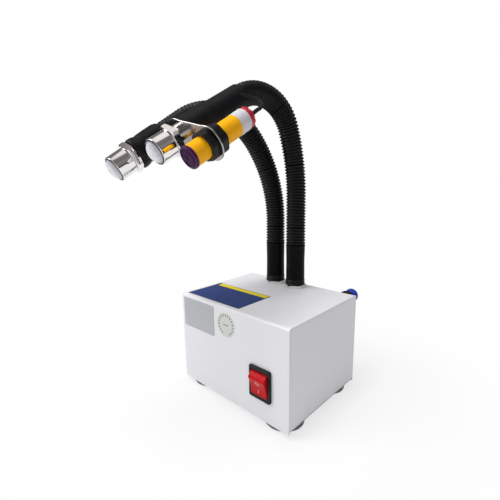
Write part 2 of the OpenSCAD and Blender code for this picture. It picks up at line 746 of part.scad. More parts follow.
module neck_glands() color(bright) for (n = [right_neck, left_neck]) translate([n[0], neck_y, top_z])
    difference() {
        union() {
            turned_hex(gland_af, gland_h, false);
            cylinder(h = gland_h + spigot_len, r = spigot_r);
            translate([0, 0, manifold_top - top_z]) cylinder(h = top_z - manifold_top + over, r = gland_r);
            translate([0, 0, manifold_top - manifold_seat - top_z]) cylinder(h = top_z - manifold_top,
                r = gland_r - 2);
        }
        translate([0, 0, -30]) cylinder(h = 60, r = gland_bore);
    }

module gland_locknuts() color(bright) for (n = [right_neck, left_neck])
    translate([n[0], neck_y, top_z - sheet - locknut_t]) difference() {
        linear_extrude(locknut_t) hex(gland_af);
        translate([0, 0, -over]) cylinder(h = locknut_t + 2 * over, r = gland_r + fit_gap);
    }

// Heads

// Pieces of a head, drawn with Z along the nozzle from the end of the hose
module at_head(n) {
    p = on_neck(n, hose_end(n));
    c = place(n, p);
    u = side(n);
    v = rise(n, p);
    w = way(n, p);
    multmatrix([[u[0], v[0], w[0], c[0]], [u[1], v[1], w[1], c[1]], [u[2], v[2], w[2], c[2]]]) children();
}

// Tapered sleeve with two beads round its front end
module sleeve(len) {
    r0 = sleeve_rear_r;
    r1 = sleeve_d / 2;
    bore = stem_d / 2 + fit_gap;
    color(black) rotate_extrude() polygon([[bore, slit], [r0 - 0.5, slit], [r0, slit + 0.5], [r0, 5],
        [r1 - 0.8, 0.6 * len], [r1 - 0.8, len - 10], [r1 - 0.4, len - 9.5], [r1 - 0.4, len - 6.5],
        [r1 - 1.2, len - 6], [r1 - 1.2, len - 5], [r1, len - 4.4], [r1, len - 0.8], [r1 - 0.8, len],
        [bore, len]]);
}

module right_sleeve() at_head(right_neck) difference() {
    sleeve(right_sleeve_len);
    lead_entry();
}

// Hole for the end of the sensor lead in the rear of the sleeve
module lead_entry() {
    w = unit(lead_end - lead_turn);
    u = unit(cross([0, 0, 1], w));
    v = cross(w, u);
    c = lead_end + 0.4 * w;
    multmatrix([[u[0], v[0], w[0], c[0]], [u[1], v[1], w[1], c[1]], [u[2], v[2], w[2], c[2]]])
        translate([0, 0, -lead_cut]) cylinder(h = lead_cut, r = lead_r + 5 * fit_gap);
}

module left_sleeve() at_head(left_neck) sleeve(left_sleeve_len);

// Stem of a nozzle with the air bore, a needle seat and a ring of air holes
module nozzle_body(rim) {
    front = rim - stem_back;
    color([0.25, 0.25, 0.27]) difference() {
        translate([0, 0, stem_start]) cylinder(h = front - stem_start, d = stem_d);
        translate([0, 0, stem_start - over])
            cylinder(h = front - stem_web - stem_start + over, d = line_d + 2 * fit_gap);
        translate([0, 0, front - seat_depth]) cylinder(h = seat_depth + over, r = needle_r + fit_gap);
        for (a = [0 : 60 : 300]) rotate(a) {
            translate([stem_d / 2 - 2 * jet_r, 0, front - jet_len + 1]) cylinder(h = jet_len, r = jet_r);
            translate([line_d / 2 - 1.5 * jet_r, 0, front - stem_web - jet_len / 2])
                cylinder(h = jet_len, r = jet_r);
        }
    }
}

module right_nozzle_body() at_head(right_neck) nozzle_body(right_rim);

module left_nozzle_body() at_head(left_neck) nozzle_body(left_rim);

// Hex flange with a round shank behind it
module flange(z, shank) color([0.62, 0.63, 0.65]) translate([0, 0, z]) difference() {
    union() {
        cylinder(h = shank + over, d = shank_d);
        translate([0, 0, shank]) turned_hex(flange_af, flange_t);
    }
    translate([0, 0, -over]) cylinder(h = shank + flange_t + 2 * over, d = stem_d + 2 * fit_gap);
}

module right_flange() at_head(right_neck) flange(right_flange_z, right_shank);

module left_flange() at_head(left_neck) flange(left_flange_z, left_shank);

// Round nozzle cap, open at the front, with its edges turned off
module cap(rim) {
    r = cap_d / 2;
    bore = stem_d / 2 + fit_gap;
    z = rim - cap_len;
    color(bright) rotate_extrude() polygon([[bore, z], [r - 0.6, z], [r, z + 0.6], [r, rim - 0.8],
        [r - 0.6, rim], [r - cap_wall, rim], [r - cap_wall, z + 2], [bore, z + 2]]);
}

module right_cap() at_head(right_neck) cap(right_rim);

module left_cap() at_head(left_neck) cap(left_rim);

// Domed tip on a hollow post, with a ring-shaped air slot left round it
module tip(rim) {
    r = cap_d / 2 - cap_wall - slot_w;
    d = r - 0.8;
    ball = (d * d + dome_h * dome_h) / (2 * dome_h);
    color([0.95, 0.96, 0.97]) translate([0, 0, rim]) rotate_extrude() difference() {
        union() {
            translate([0, -stem_back]) square([tip_post, stem_back - 1]);
            translate([0, -2]) square([r, 2]);
            intersection() {
                translate([0, dome_h - ball]) circle(ball, $fn = 96);
                translate([0, -1]) square([d, dome_h + 2]);
            }
        }
        translate([-over, -stem_back - over]) square([tip_post - 1.5 + over, stem_back - 2 + over]);
        translate([-3 * ball, -3 * ball]) square([3 * ball, 6 * ball]);
    }
}

module right_tip() at_head(right_neck) tip(right_rim);

module left_tip() at_head(left_neck) tip(left_rim);

// Pointed emitter needle
module emitter(rim) color([0.75, 0.76, 0.78]) translate([0, 0, rim - stem_back]) {
    translate([0, 0, -8]) cylinder(h = 9, r = needle_r);
    translate([0, 0, 1]) cylinder(h = 2, r1 = needle_r, r2 = 0.1);
}

module right_emitter() at_head(right_neck) emitter(right_rim);

module left_emitter() at_head(left_neck) emitter(left_rim);

// Sensor

module at_sensor() at_head(right_neck) translate([sensor_x, sensor_y, 0]) children();

module sensor_bracket() color(bright) at_head(right_neck) translate([0, 0, right_sleeve_len])
    linear_extrude(bracket_t) difference() {
        union() {
            circle(bracket_r);
            translate([sensor_x, sensor_y]) circle(bracket_r);
            rotate(-sensor_turn) translate([0, -web_half]) square([sensor_off, 2 * web_half]);
        }
        circle(d = stem_d + 2 * fit_gap);
        translate([sensor_x, sensor_y]) circle(d = sensor_d + 2 * fit_gap);
    }

module sensor_nuts() color(black) at_sensor() difference() {
    union() {
        translate([0, 0, right_flange_z]) turned_hex(nut_af, nut_t);
        translate([0, 0, right_sleeve_len - nut_t - 2.5]) turned_hex(nut_af, nut_t + 1);
        translate([0, 0, right_sleeve_len - 2.5]) cylinder(h = 2.5, d = nut_af + 2);
    }
    translate([0, 0, sensor_rear]) cylinder(h = sensor_len, d = sensor_d + 2 * fit_gap);
}

module sensor_body() color([0.92, 0.66, 0.08]) at_sensor() translate([0, 0, sensor_rear + end_cap_t])
    cylinder(h = sensor_len - end_cap_t - lens_t, d = sensor_d);

module sensor_lens() color([0.2, 0.1, 0.3]) at_sensor() translate([0, 0, sensor_front - lens_t])
    difference() {
        rotate_extrude() polygon([[0, 0], [lens_d / 2 - 0.4, 0], [lens_d / 2, 0.4],
            [lens_d / 2, lens_t - 0.6], [lens_d / 2 - 0.6, lens_t], [0, lens_t]]);
        for (s = [-1, 1]) translate([s * lens_d / 4.6, 0, lens_t - 0.6]) cylinder(h = 1, r = lens_d / 6.2);
    }

module sensor_end_cap() color([0.8, 0.1, 0.12]) at_sensor() translate([0, 0, sensor_rear]) difference() {
    rotate_extrude() polygon([[0, 0], [sensor_d / 2 - 1, 0], [sensor_d / 2, 1], [sensor_d / 2, end_cap_t],
        [0, end_cap_t]]);
    rotate(120) translate([trim_off, 0, -over])
        cylinder(h = trim_depth + run_gap + over, d = trim_d + 2 * run_gap);
    for (a = [0 : 30 : 330]) rotate(a) translate([sensor_d / 2 + 0.4, 0, -over])
        cylinder(h = end_cap_t - 1, r = 1);
}

module sensor_lead() color([0.2, 0.2, 0.22]) at_head(right_neck) cord(lead_path,
    unit(cross([0, 0, 1], [lead_end[0] - sensor_x, lead_end[1] - sensor_y, 0])), lead_r);

module sensitivity_screw() color(brass) at_sensor() translate([0, 0, sensor_rear]) rotate(120)
    translate([trim_off, 0, 0]) difference() {
        cylinder(h = trim_depth, d = trim_d);
        cube([trim_d + over, 0.7, 1.6], center = true);
    }

base_pan();
cover();
rubber_feet();
panel_screws();
switch_housing();
switch_rocker();
air_fitting();
fitting_collar();
power_inlet();
inlet_pins();
high_voltage_module();
high_voltage_leads();
control_board();
valve_body();
valve_coil();
air_manifold();
neck_glands();
gland_locknuts();
cuff(right_neck);  // right_cuff
cuff(left_neck);  // left_cuff
air_line(right_neck);  // right_air_line
air_line(left_neck);  // left_air_line
hose(right_neck, 0);  // right_hose_bend_1
hose(right_neck, 1);  // right_hose_length_1
hose(right_neck, 2);  // right_hose_bend_2
hose(right_neck, 3);  // right_hose_length_2
hose(right_neck, 4);  // right_hose_bend_3
hose(right_neck, 5);  // right_hose_length_3
hose(right_neck, 6);  // right_hose_bend_4
hose(right_neck, 7);  // right_hose_length_4
hose(right_neck, 8);  // right_hose_bend_5
hose(left_neck, 0);  // left_hose_bend_1
hose(left_neck, 1);  // left_hose_length_1
hose(left_neck, 2);  // left_hose_bend_2
hose(left_neck, 3);  // left_hose_length_2
hose(left_neck, 4);  // left_hose_bend_3
hose(left_neck, 5);  // left_hose_length_3
hose(left_neck, 6);  // left_hose_bend_4
hose(left_neck, 7);  // left_hose_length_4
hose(left_neck, 8);  // left_hose_bend_5
right_sleeve();
left_sleeve();
right_nozzle_body();
left_nozzle_body();
right_flange();
left_flange();
right_cap();
left_cap();
right_tip();
left_tip();
right_emitter();
left_emitter();
sensor_bracket();
sensor_nuts();
sensor_body();
sensor_lens();
sensor_end_cap();
sensor_lead();
sensitivity_screw();
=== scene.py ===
import json
from math import asin, atan, atan2, cos, degrees, hypot, pi, radians, sin
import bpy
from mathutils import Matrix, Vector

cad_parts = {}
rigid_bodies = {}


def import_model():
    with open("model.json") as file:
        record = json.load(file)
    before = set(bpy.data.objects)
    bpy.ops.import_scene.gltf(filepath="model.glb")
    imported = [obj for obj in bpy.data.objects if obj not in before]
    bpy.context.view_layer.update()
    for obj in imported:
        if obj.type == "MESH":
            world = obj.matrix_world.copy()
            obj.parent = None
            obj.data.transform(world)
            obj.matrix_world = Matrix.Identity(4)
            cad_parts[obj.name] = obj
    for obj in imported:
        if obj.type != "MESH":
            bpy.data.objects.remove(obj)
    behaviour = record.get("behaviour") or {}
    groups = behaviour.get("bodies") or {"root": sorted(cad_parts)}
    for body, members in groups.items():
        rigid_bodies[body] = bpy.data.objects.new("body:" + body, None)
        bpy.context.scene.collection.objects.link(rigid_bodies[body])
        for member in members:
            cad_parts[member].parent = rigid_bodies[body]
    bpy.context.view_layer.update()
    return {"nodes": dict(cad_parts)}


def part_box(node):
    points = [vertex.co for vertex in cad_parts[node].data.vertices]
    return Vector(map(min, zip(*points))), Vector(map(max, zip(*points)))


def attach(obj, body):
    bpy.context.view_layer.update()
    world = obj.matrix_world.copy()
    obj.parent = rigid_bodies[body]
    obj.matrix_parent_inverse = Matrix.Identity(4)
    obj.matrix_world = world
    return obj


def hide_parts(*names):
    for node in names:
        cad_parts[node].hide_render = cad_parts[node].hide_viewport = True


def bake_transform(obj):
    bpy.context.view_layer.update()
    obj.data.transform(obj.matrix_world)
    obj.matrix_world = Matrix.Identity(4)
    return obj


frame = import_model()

from types import SimpleNamespace
import bmesh
import bpy
import numpy as np
from numpy.linalg import norm
from mathutils import Matrix, Vector

SCENE = bpy.context.scene
MM = 0.001
TINY = 1e-6
FULL_TURN = 2 * pi

# Box and feet, in millimetres like all sizes below
BOX_W = 146.0
BOX_D = 116.5
BOX_H = 98.0
FOOT_H = 4.5
FOOT_R = 19.0
TOP = FOOT_H + BOX_H
FRONT = -BOX_D / 2
REAR = BOX_D / 2
SIDE = BOX_W / 2

# Switch
BEZEL_W = 25.0
BEZEL_H = 31.0
BEZEL_T = 2.2
SWITCH_X = SIDE - 31.8
SWITCH_Z = FOOT_H + 36.8
ROCKER_W = 19.0
ROCKER_FACE = 17.6
ROCKER_REACH = 10.9
ROCKER_PIVOT = 5.6
ROCKER_TILT = radians(14.0)
ROCKER_DISH = 0.9

# Air fitting
FITTING_X = SIDE - 16.0
FITTING_Z = TOP - 9.0
FITTING_END = 13.0
COLLAR_GAP = 2.0
COLLAR_LEN = 9.0
COLLAR_R = 7.5

# Necks
NECK_Y = REAR - 15.0
NECK_MIDDLE = -9.5
NECK_HALF_GAP = 14.5
GLAND_H = 3.0
CUFF_R = 10.5
CUFF_TOP = 49.0
HOSE_R = 11.0
HOSE_BORE_R = 7.5
GROOVE = 1.6
PITCH = 3.25
BEND_RIDGES = 4
BENDS = 5
LINE_R = 3.95
LINE_START = -25.0
LINE_PAST_HOSE = 10.0
RIGHT = SimpleNamespace(
    name="right", x=NECK_MIDDLE + NECK_HALF_GAP, yaw=6.5, rise=101.0, sweep_r=199.0, sweep_angle=21.0,
    arch_r=43.5, dip=31.5, runs=(5, 28, 5, 4), sleeve=72.0, shank=6.5)
LEFT = SimpleNamespace(
    name="left", x=NECK_MIDDLE - NECK_HALF_GAP, yaw=9.5, rise=74.0, sweep_r=139.0, sweep_angle=40.0,
    arch_r=60.5, dip=34.5, runs=(5, 28, 9, 11), sleeve=31.5, shank=1.0)

# Nozzles
FLANGE_T = 5.5
CAP_R = 11.1
CAP_LEN = 15.5
CAP_WALL = 1.0
TIP_GAP = 0.6
DOME_H = 4.6

# Sensor and its bracket
BRACKET_T = 1.4
BRACKET_R = 14.5
WEB_HALF = 14.0
NUT_FLATS = 24.0
NUT_T = 6.5
SENSOR_R = 9.0
SENSOR_LEN = 67.0
SENSOR_OFF = 34.8
SENSOR_TURN = radians(18.0)
SENSOR_SET = 22.0
LENS_R = 9.3
LENS_T = 3.0
LEAD_D = 3.4


# Vectors, and places made of an origin and three directions
def vec(*numbers):
    return np.array(numbers, float)


ACROSS = vec(1, 0, 0)
BACK = vec(0, 1, 0)
UP = vec(0, 0, 1)


def upright(x, y, z):
    return (vec(x, y, z), ACROSS, BACK, UP)


def shifted(place, x=0.0, y=0.0, z=0.0):
    origin, right, above, out = place
    return (origin + x * right + y * above + z * out, right, above, out)


def spun(place, angle):
    """Place turned about its third direction."""
    origin, right, above, out = place
    cosine = cos(angle)
    sine = sin(angle)
    return (origin, cosine * right + sine * above, cosine * above - sine * right, out)


def put(place, points):
    """Points of a place in the frame's coordinates."""
    origin, right, above, out = place
    rows = np.asarray(points, float)
    return origin + rows[:, :1] * right + rows[:, 1:2] * above + rows[:, 2:3] * out


TOP_FACE = upright(0, 0, TOP)
FRONT_FACE = (vec(0, FRONT, 0), ACROSS, UP, -BACK)


# Lines of the necks, as (ahead, height, heading) points in each neck's own upright plane
def turned(point, radius, angle):
    """Point moved along an arc that bends forward by an angle."""
    ahead, height, heading = point
    before = radians(heading)
    after = radians(heading - angle)
    return (ahead + radius * (sin(before) - sin(after)),
            height + radius * (cos(after) - cos(before)), heading - angle)


def straight_on(point, distance):
    ahead, height, heading = point
    slope = radians(heading)
    return (ahead + distance * cos(slope), height + distance * sin(slope), heading)


def bend_marks(neck):
    """Lengths from the box top at which each bend starts and ends."""
    marks = [CUFF_TOP]
    for i in range(2 * BENDS - 1):
        ridges = BEND_RIDGES if i % 2 == 0 else neck.runs[i // 2]
        marks.append(marks[-1] + PITCH * ridges)
    return marks


def on_line(neck, along):
    """Point of a neck's line: a straight rise, a wide sweep, a tighter arch, then straight on."""
    arch_angle = 90 - neck.sweep_angle + neck.dip
    sweep_end = neck.rise + radians(neck.sweep_angle) * neck.sweep_r
    arch_end = sweep_end + radians(arch_angle) * neck.arch_r
    rise_top = (0, neck.rise, 90)
    sweep_top = turned(rise_top, neck.sweep_r, neck.sweep_angle)
    if along <= neck.rise:
        return (0, along, 90)
    if along <= sweep_end:
        return turned(rise_top, neck.sweep_r, degrees((along - neck.rise) / neck.sweep_r))
    if along <= arch_end:
        return turned(sweep_top, neck.arch_r, degrees((along - sweep_end) / neck.arch_r))
    return straight_on(turned(sweep_top, neck.arch_r, arch_angle), along - arch_end)


def at(neck, along):
    """Place on a neck, at a length from the box top: its origin, side, up and forward directions."""
    end = bend_marks(neck)[-1]
    point = on_line(neck, along) if along <= end else straight_on(on_line(neck, end), along - end)
    ahead, height, heading = point
    yaw = radians(neck.yaw)
    slope = radians(heading)
    front = vec(-sin(yaw), -cos(yaw), 0)
    side = vec(cos(yaw), -sin(yaw), 0)
    origin = vec(neck.x, NECK_Y, TOP) + ahead * front + height * UP
    return (origin, side, -sin(slope) * front + cos(slope) * UP,
            cos(slope) * front + sin(slope) * UP)


RIGHT_HEAD = at(RIGHT, bend_marks(RIGHT)[-1])
LEFT_HEAD = at(LEFT, bend_marks(LEFT)[-1])
BRACKET_FRONT = RIGHT.sleeve + BRACKET_T
SENSOR_X = SENSOR_OFF * cos(SENSOR_TURN)
SENSOR_Y = -SENSOR_OFF * sin(SENSOR_TURN)
SENSOR_FRONT = BRACKET_FRONT + SENSOR_SET
SENSOR_REAR = SENSOR_FRONT - SENSOR_LEN
SENSOR = shifted(RIGHT_HEAD, SENSOR_X, SENSOR_Y)


# Shader nodes
WHITE = (1, 1, 1, 1)
NOISE_LOW = 0.3
NOISE_HIGH = 0.7
COAT_ROUGH = 0.1
BUMP_DETAIL = 2.0


def plug(tree, target, inputs):
    """Give each named input of a node a constant, or a link from an output or from a node's first output."""
    for name, value in inputs.items():
        if isinstance(value, bpy.types.Node):
            value = value.outputs[0]
        if isinstance(value, bpy.types.NodeSocket):
            tree.links.new(value, target.inputs[name])
        else:
            target.inputs[name].default_value = value


def node(tree, kind, inputs=None, **settings):
    new = tree.nodes.new(kind)
    for name, value in settings.items():
        setattr(new, name, value)
    plug(tree, new, inputs or {})
    return new


def noise(tree, scale, stretch, detail):
    """Grey noise in the piece's own coordinates."""
    coords = node(tree, "ShaderNodeTexCoord")
    stretched = node(tree, "ShaderNodeMapping", {"Vector": coords.outputs["Object"], "Scale": stretch})
    return node(tree, "ShaderNodeTexNoise", {"Vector": stretched, "Scale": scale, "Detail": detail})


def ramp(tree, factor, low, high, start=NOISE_LOW, end=NOISE_HIGH):
    """Colour that goes from low to high while the factor goes from start to end."""
    colours = node(tree, "ShaderNodeValToRGB", {"Fac": factor})
    first, last = colours.color_ramp.elements
    first.position = start
    first.color = (*low, 1)
    last.position = end
    last.color = (*high, 1)
    return colours


def seen_directly(tree):
    """1 for what the camera, a reflection or a clear piece shows, 0 for light that falls on surfaces."""
    path = node(tree, "ShaderNodeLightPath")
    seen = path.outputs["Is Camera Ray"]
    for ray in ("Is Glossy Ray", "Is Transmission Ray"):
        seen = node(tree, "ShaderNodeMath", {0: seen, 1: path.outputs[ray]}, operation="MAXIMUM")
    return seen


FINISH = {}
PATCH_SCALE = 0.6
GRAIN_SCALE = 4


def material(finish, name, base, tint, rough, metal=0.0, scale=300.0, stretch=(1, 1, 1), detail=4.0,
             rough_to=None, rough_scale=None, bump=0.0, bump_scale=None, bump_depth=0.0002, coat=0.0,
             spec=0.5, trans=0.0, ior=1.46):
    """Material whose colour drifts from base halfway to tint, with a drift of roughness and a fine bump."""
    new = bpy.data.materials.new(name)
    new.use_nodes = True
    tree = new.node_tree
    shader = tree.nodes["Principled BSDF"]
    halfway = [(b + t) / 2 for b, t in zip(base, tint)]
    plug(tree, shader, {
        "Base Color": ramp(tree, noise(tree, scale, stretch, detail), halfway, base), "Metallic": metal,
        "Roughness": rough, "Specular IOR Level": spec, "IOR": ior, "Transmission Weight": trans,
        "Coat Weight": coat, "Coat Roughness": COAT_ROUGH})
    if rough_to is not None:
        patches = noise(tree, rough_scale or scale * PATCH_SCALE, stretch, detail)
        drift = node(tree, "ShaderNodeMapRange", {
            "Value": patches, "From Min": NOISE_LOW, "From Max": NOISE_HIGH, "To Min": rough,
            "To Max": rough_to})
        plug(tree, shader, {"Roughness": drift})
    if bump:
        grain = noise(tree, bump_scale or scale * GRAIN_SCALE, stretch, BUMP_DETAIL)
        relief = node(tree, "ShaderNodeBump", {"Height": grain, "Strength": bump, "Distance": bump_depth})
        plug(tree, shader, {"Normal": relief})
    FINISH[finish] = new


# Materials: box and feet
material("paint", "white_powder_coat", (0.81, 0.808, 0.838), (0.785, 0.783, 0.813), 0.30, scale=9,
         detail=0.0, bump=0.10, bump_scale=520, bump_depth=0.00004)
# Dark strip colour: painted shadow in the gap between the cover and the pan
material("seam", "dark_seam", (0.10, 0.10, 0.105), (0.16, 0.16, 0.165), 0.6, scale=400, bump=0.1)
material("foot", "clear_grey_bumper", (0.42, 0.43, 0.44), (0.30, 0.31, 0.32), 0.18, scale=250, rough_to=0.3,
         trans=0.55, ior=1.42, bump=0.08, bump_scale=900)
material("screw", "zinc_screw", (0.66, 0.66, 0.68), (0.5, 0.5, 0.53), 0.25, metal=1.0, scale=900,
         rough_to=0.4, bump=0.06)

# Materials: switch
material("bezel", "black_gloss_bezel", (0.008, 0.008, 0.009), (0.014, 0.014, 0.015), 0.30, scale=800,
         rough_to=0.40, bump=0.08, bump_scale=2200, bump_depth=0.0001, spec=0.25)
material("rocker", "red_rocker_plastic", (0.54, 0.006, 0.010), (0.48, 0.005, 0.008), 0.30, scale=200,
         rough_to=0.38, bump=0.04, bump_scale=1600, bump_depth=0.0001, spec=0.12)
material("mark", "pale_switch_mark", (0.70, 0.50, 0.50), (0.6, 0.4, 0.4), 0.4, scale=900, bump=0.05)

# Materials: air and power at the back
material("black", "black_moulded_plastic", (0.007, 0.007, 0.008), (0.012, 0.012, 0.013), 0.36, scale=700,
         rough_to=0.48, bump=0.12, bump_scale=2600, bump_depth=0.0001, spec=0.24)
material("collar", "blue_collar_plastic", (0.016, 0.045, 0.44), (0.012, 0.03, 0.33), 0.28, scale=500,
         rough_to=0.4, bump=0.08, coat=0.25)
material("brass", "brass_plating", (0.80, 0.60, 0.26), (0.62, 0.45, 0.18), 0.22, metal=1.0, scale=900,
         rough_to=0.35, bump=0.06)

# Materials: inside the box
material("module", "potted_resin", (0.05, 0.065, 0.12), (0.08, 0.1, 0.16), 0.5, scale=200, bump=0.3)
material("wire", "silicone_lead_red", (0.45, 0.03, 0.03), (0.35, 0.02, 0.02), 0.45, scale=400, bump=0.1)
material("board", "green_solder_mask", (0.02, 0.16, 0.06), (0.03, 0.24, 0.08), 0.35, scale=220, bump=0.25,
         bump_scale=700)
material("alu", "machined_aluminium", (0.70, 0.71, 0.73), (0.58, 0.59, 0.61), 0.3, metal=1.0, scale=700,
         stretch=(1, 1, 8), rough_to=0.45, bump=0.1)
material("coil", "coil_resin", (0.035, 0.036, 0.045), (0.055, 0.056, 0.06), 0.5, scale=400, bump=0.2)

# Materials: necks
material("hose", "corrugated_hose_black", (0.0038, 0.0038, 0.0042), (0.007, 0.007, 0.0075), 0.36, scale=180,
         rough_to=0.54, rough_scale=260, bump=0.2, bump_scale=1800, bump_depth=0.00012, spec=0.34)
material("cuff", "heat_shrink_dark", (0.003, 0.003, 0.0034), (0.005, 0.005, 0.0055), 0.42, scale=120,
         rough_to=0.54, rough_scale=150, bump=0.16, bump_scale=520, bump_depth=0.00015, spec=0.10)
material("ring", "moulded_ring_black", (0.006, 0.006, 0.0065), (0.010, 0.010, 0.0105), 0.26, rough_to=0.34,
         bump=0.05, bump_scale=1800, bump_depth=0.0001, spec=0.55)
material("sleeve", "heat_shrink_black", (0.007, 0.007, 0.009), (0.012, 0.012, 0.014), 0.40, scale=120,
         rough_to=0.50, rough_scale=150, bump=0.16, bump_scale=520, bump_depth=0.00015, spec=0.18)
material("line", "air_line_blue", (0.05, 0.14, 0.36), (0.04, 0.1, 0.28), 0.35, bump=0.08)

# Materials: nozzles
material("chrome", "polished_chrome", (0.84, 0.82, 0.81), (0.78, 0.765, 0.755), 0.05, metal=1.0, scale=160,
         rough_to=0.08, rough_scale=60)
material("nickel", "bright_nickel", (0.72, 0.72, 0.735), (0.60, 0.60, 0.62), 0.12, metal=1.0, scale=420,
         rough_to=0.22, bump=0.03, bump_scale=1800, bump_depth=0.0001)
material("seal", "black_seal", (0.012, 0.012, 0.013), (0.022, 0.022, 0.022), 0.5, scale=900, bump=0.1)

# Materials: sensor and its bracket
material("steel", "bright_sheet_steel", (0.44, 0.43, 0.42), (0.37, 0.36, 0.35), 0.20, metal=1.0, scale=260,
         stretch=(1, 6, 1), rough_to=0.26, bump=0.04, bump_scale=1500, bump_depth=0.0001)
material("yellow", "amber_sensor_plastic", (1.0, 0.47, 0.003), (0.96, 0.43, 0.003), 0.36, scale=90,
         rough_to=0.44, bump=0.06, bump_scale=900, bump_depth=0.0001, spec=0.22)
material("band", "white_band_film", (0.66, 0.66, 0.70), (0.61, 0.61, 0.65), 0.45, scale=160, rough_to=0.5,
         bump=0.06)
material("lens", "dark_purple_filter", (0.028, 0.003, 0.038), (0.040, 0.005, 0.052), 0.20, scale=260,
         rough_to=0.30, bump=0.02, spec=0.06)
material("lens_rim", "purple_filter_rim", (0.060, 0.006, 0.078), (0.046, 0.005, 0.060), 0.20, scale=260,
         rough_to=0.30, bump=0.02, spec=0.22)
material("redcap", "clear_red_cap", (0.66, 0.016, 0.045), (0.54, 0.010, 0.03), 0.14, scale=420,
         rough_to=0.24, bump=0.05, trans=0.2, ior=1.49)
material("lead", "grey_cable_sheath", (0.016, 0.016, 0.018), (0.026, 0.026, 0.028), 0.58, scale=400,
         bump=0.12, spec=0.14)

# Materials: labels
material("blue_film", "blue_label_film", (0.022, 0.050, 0.190), (0.030, 0.064, 0.225), 0.42, scale=130,
         rough_to=0.54, bump=0.06, bump_scale=1400, bump_depth=0.00006)
material("navy_film", "navy_label_film", (0.010, 0.016, 0.070), (0.016, 0.024, 0.09), 0.42, scale=130,
         rough_to=0.54, bump=0.06)
material("yellow_film", "yellow_label_film", (0.84, 0.68, 0.025), (0.78, 0.62, 0.02), 0.42, scale=130,
         rough_to=0.54, bump=0.06)
material("silver_film", "brushed_silver_plate", (0.49, 0.495, 0.515), (0.43, 0.435, 0.455), 0.34,
         metal=0.35, scale=520, stretch=(0.06, 1, 1), rough_to=0.46, bump=0.05, bump_scale=900)
material("paper", "pale_paper_sticker", (0.68, 0.69, 0.66), (0.62, 0.63, 0.60), 0.55, bump=0.08)
material("green", "green_print", (0.20, 0.34, 0.22), (0.28, 0.42, 0.29), 0.55, bump=0.06)


# Mesh helpers
MERGE = 1e-7
EASE_SHARE = 0.45
LEAST_CORNER = 0.05


def add(name, data):
    """New object in the scene."""
    new = bpy.data.objects.new(name, data)
    SCENE.collection.objects.link(new)
    return new


def make(name, verts, faces, finish, body="base", slot=None, sharp=40.0, replaces=()):
    """New piece from points in millimetres, with its finish, body and the nodes it stands for; the slot
    argument is not used.
    """
    mesh = bpy.data.meshes.new(name)
    mesh.from_pydata([tuple(v) for v in np.asarray(verts, float) * MM], [], faces)
    work = bmesh.new()
    work.from_mesh(mesh)
    bmesh.ops.remove_doubles(work, verts=work.verts, dist=MERGE)
    bmesh.ops.recalc_face_normals(work, faces=work.faces)
    work.to_mesh(mesh)
    work.free()
    mesh.shade_smooth()
    if sharp < 180:
        mesh.set_sharp_from_angle(angle=radians(sharp))
    mesh.materials.append(FINISH[finish])
    piece = add(name, mesh)
    if body:
        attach(piece, body)
    if replaces:
        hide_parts(*replaces)
    return piece


def eased(points, radius, closed=True, steps=4):
    """Row of points with its corners turned into short curves."""
    out = []
    count = len(points)
    for i, point in enumerate(points):
        if not closed and i in (0, count - 1):
            out.append(tuple(point))
            continue
        corner = vec(*point)
        before = vec(*points[i - 1]) - corner
        after = vec(*points[(i + 1) % count]) - corner
        reach = min(radius, EASE_SHARE * norm(before), EASE_SHARE * norm(after))
        start = corner + before / norm(before) * reach
        end = corner + after / norm(after) * reach
        for j in range(steps + 1):
            t = j / steps
            out.append(tuple((1 - t) ** 2 * start + 2 * t * (1 - t) * corner + t * t * end))
    return out


def lathe(name, profile, place, finish, sides=72, **options):
    """Body turned about a place's third direction, from (radius, z) points: a ring, or from pole to pole."""
    from_poles = profile[0][0] < TINY and profile[-1][0] < TINY
    verts = []
    rows = []
    for radius, z in profile:
        around = 1 if radius < TINY else sides
        rows.append(range(len(verts), len(verts) + around))
        for j in range(around):
            turn = FULL_TURN * j / sides
            verts.append((radius * cos(turn), radius * sin(turn), z))
    faces = []
    count = len(rows)
    for i in range(count - 1 if from_poles else count):
        lower = rows[i]
        upper = rows[(i + 1) % count]
        for j in range(sides):
            k = (j + 1) % sides
            corners = dict.fromkeys((lower[j % len(lower)], upper[j % len(upper)],
                                     upper[k % len(upper)], lower[k % len(lower)]))
            if len(corners) > 2:
                faces.append(tuple(corners))
    return make(name, put(place, verts), faces, finish, **options)


def stack(name, loops, place, finish, **options):
    """Closed body through loops of equal point counts, each ((x, y) points, z), capped at both ends."""
    count = len(loops[0][0])
    verts = [(x, y, z) for points, z in loops for x, y in points]
    faces = [tuple(range(count)), tuple(range(len(verts) - count, len(verts)))]
    for i in range(len(loops) - 1):
        for j in range(count):
            k = (j + 1) % count
            faces.append((i * count + j, i * count + k, (i + 1) * count + k, (i + 1) * count + j))
    return make(name, put(place, verts), faces, finish, **options)


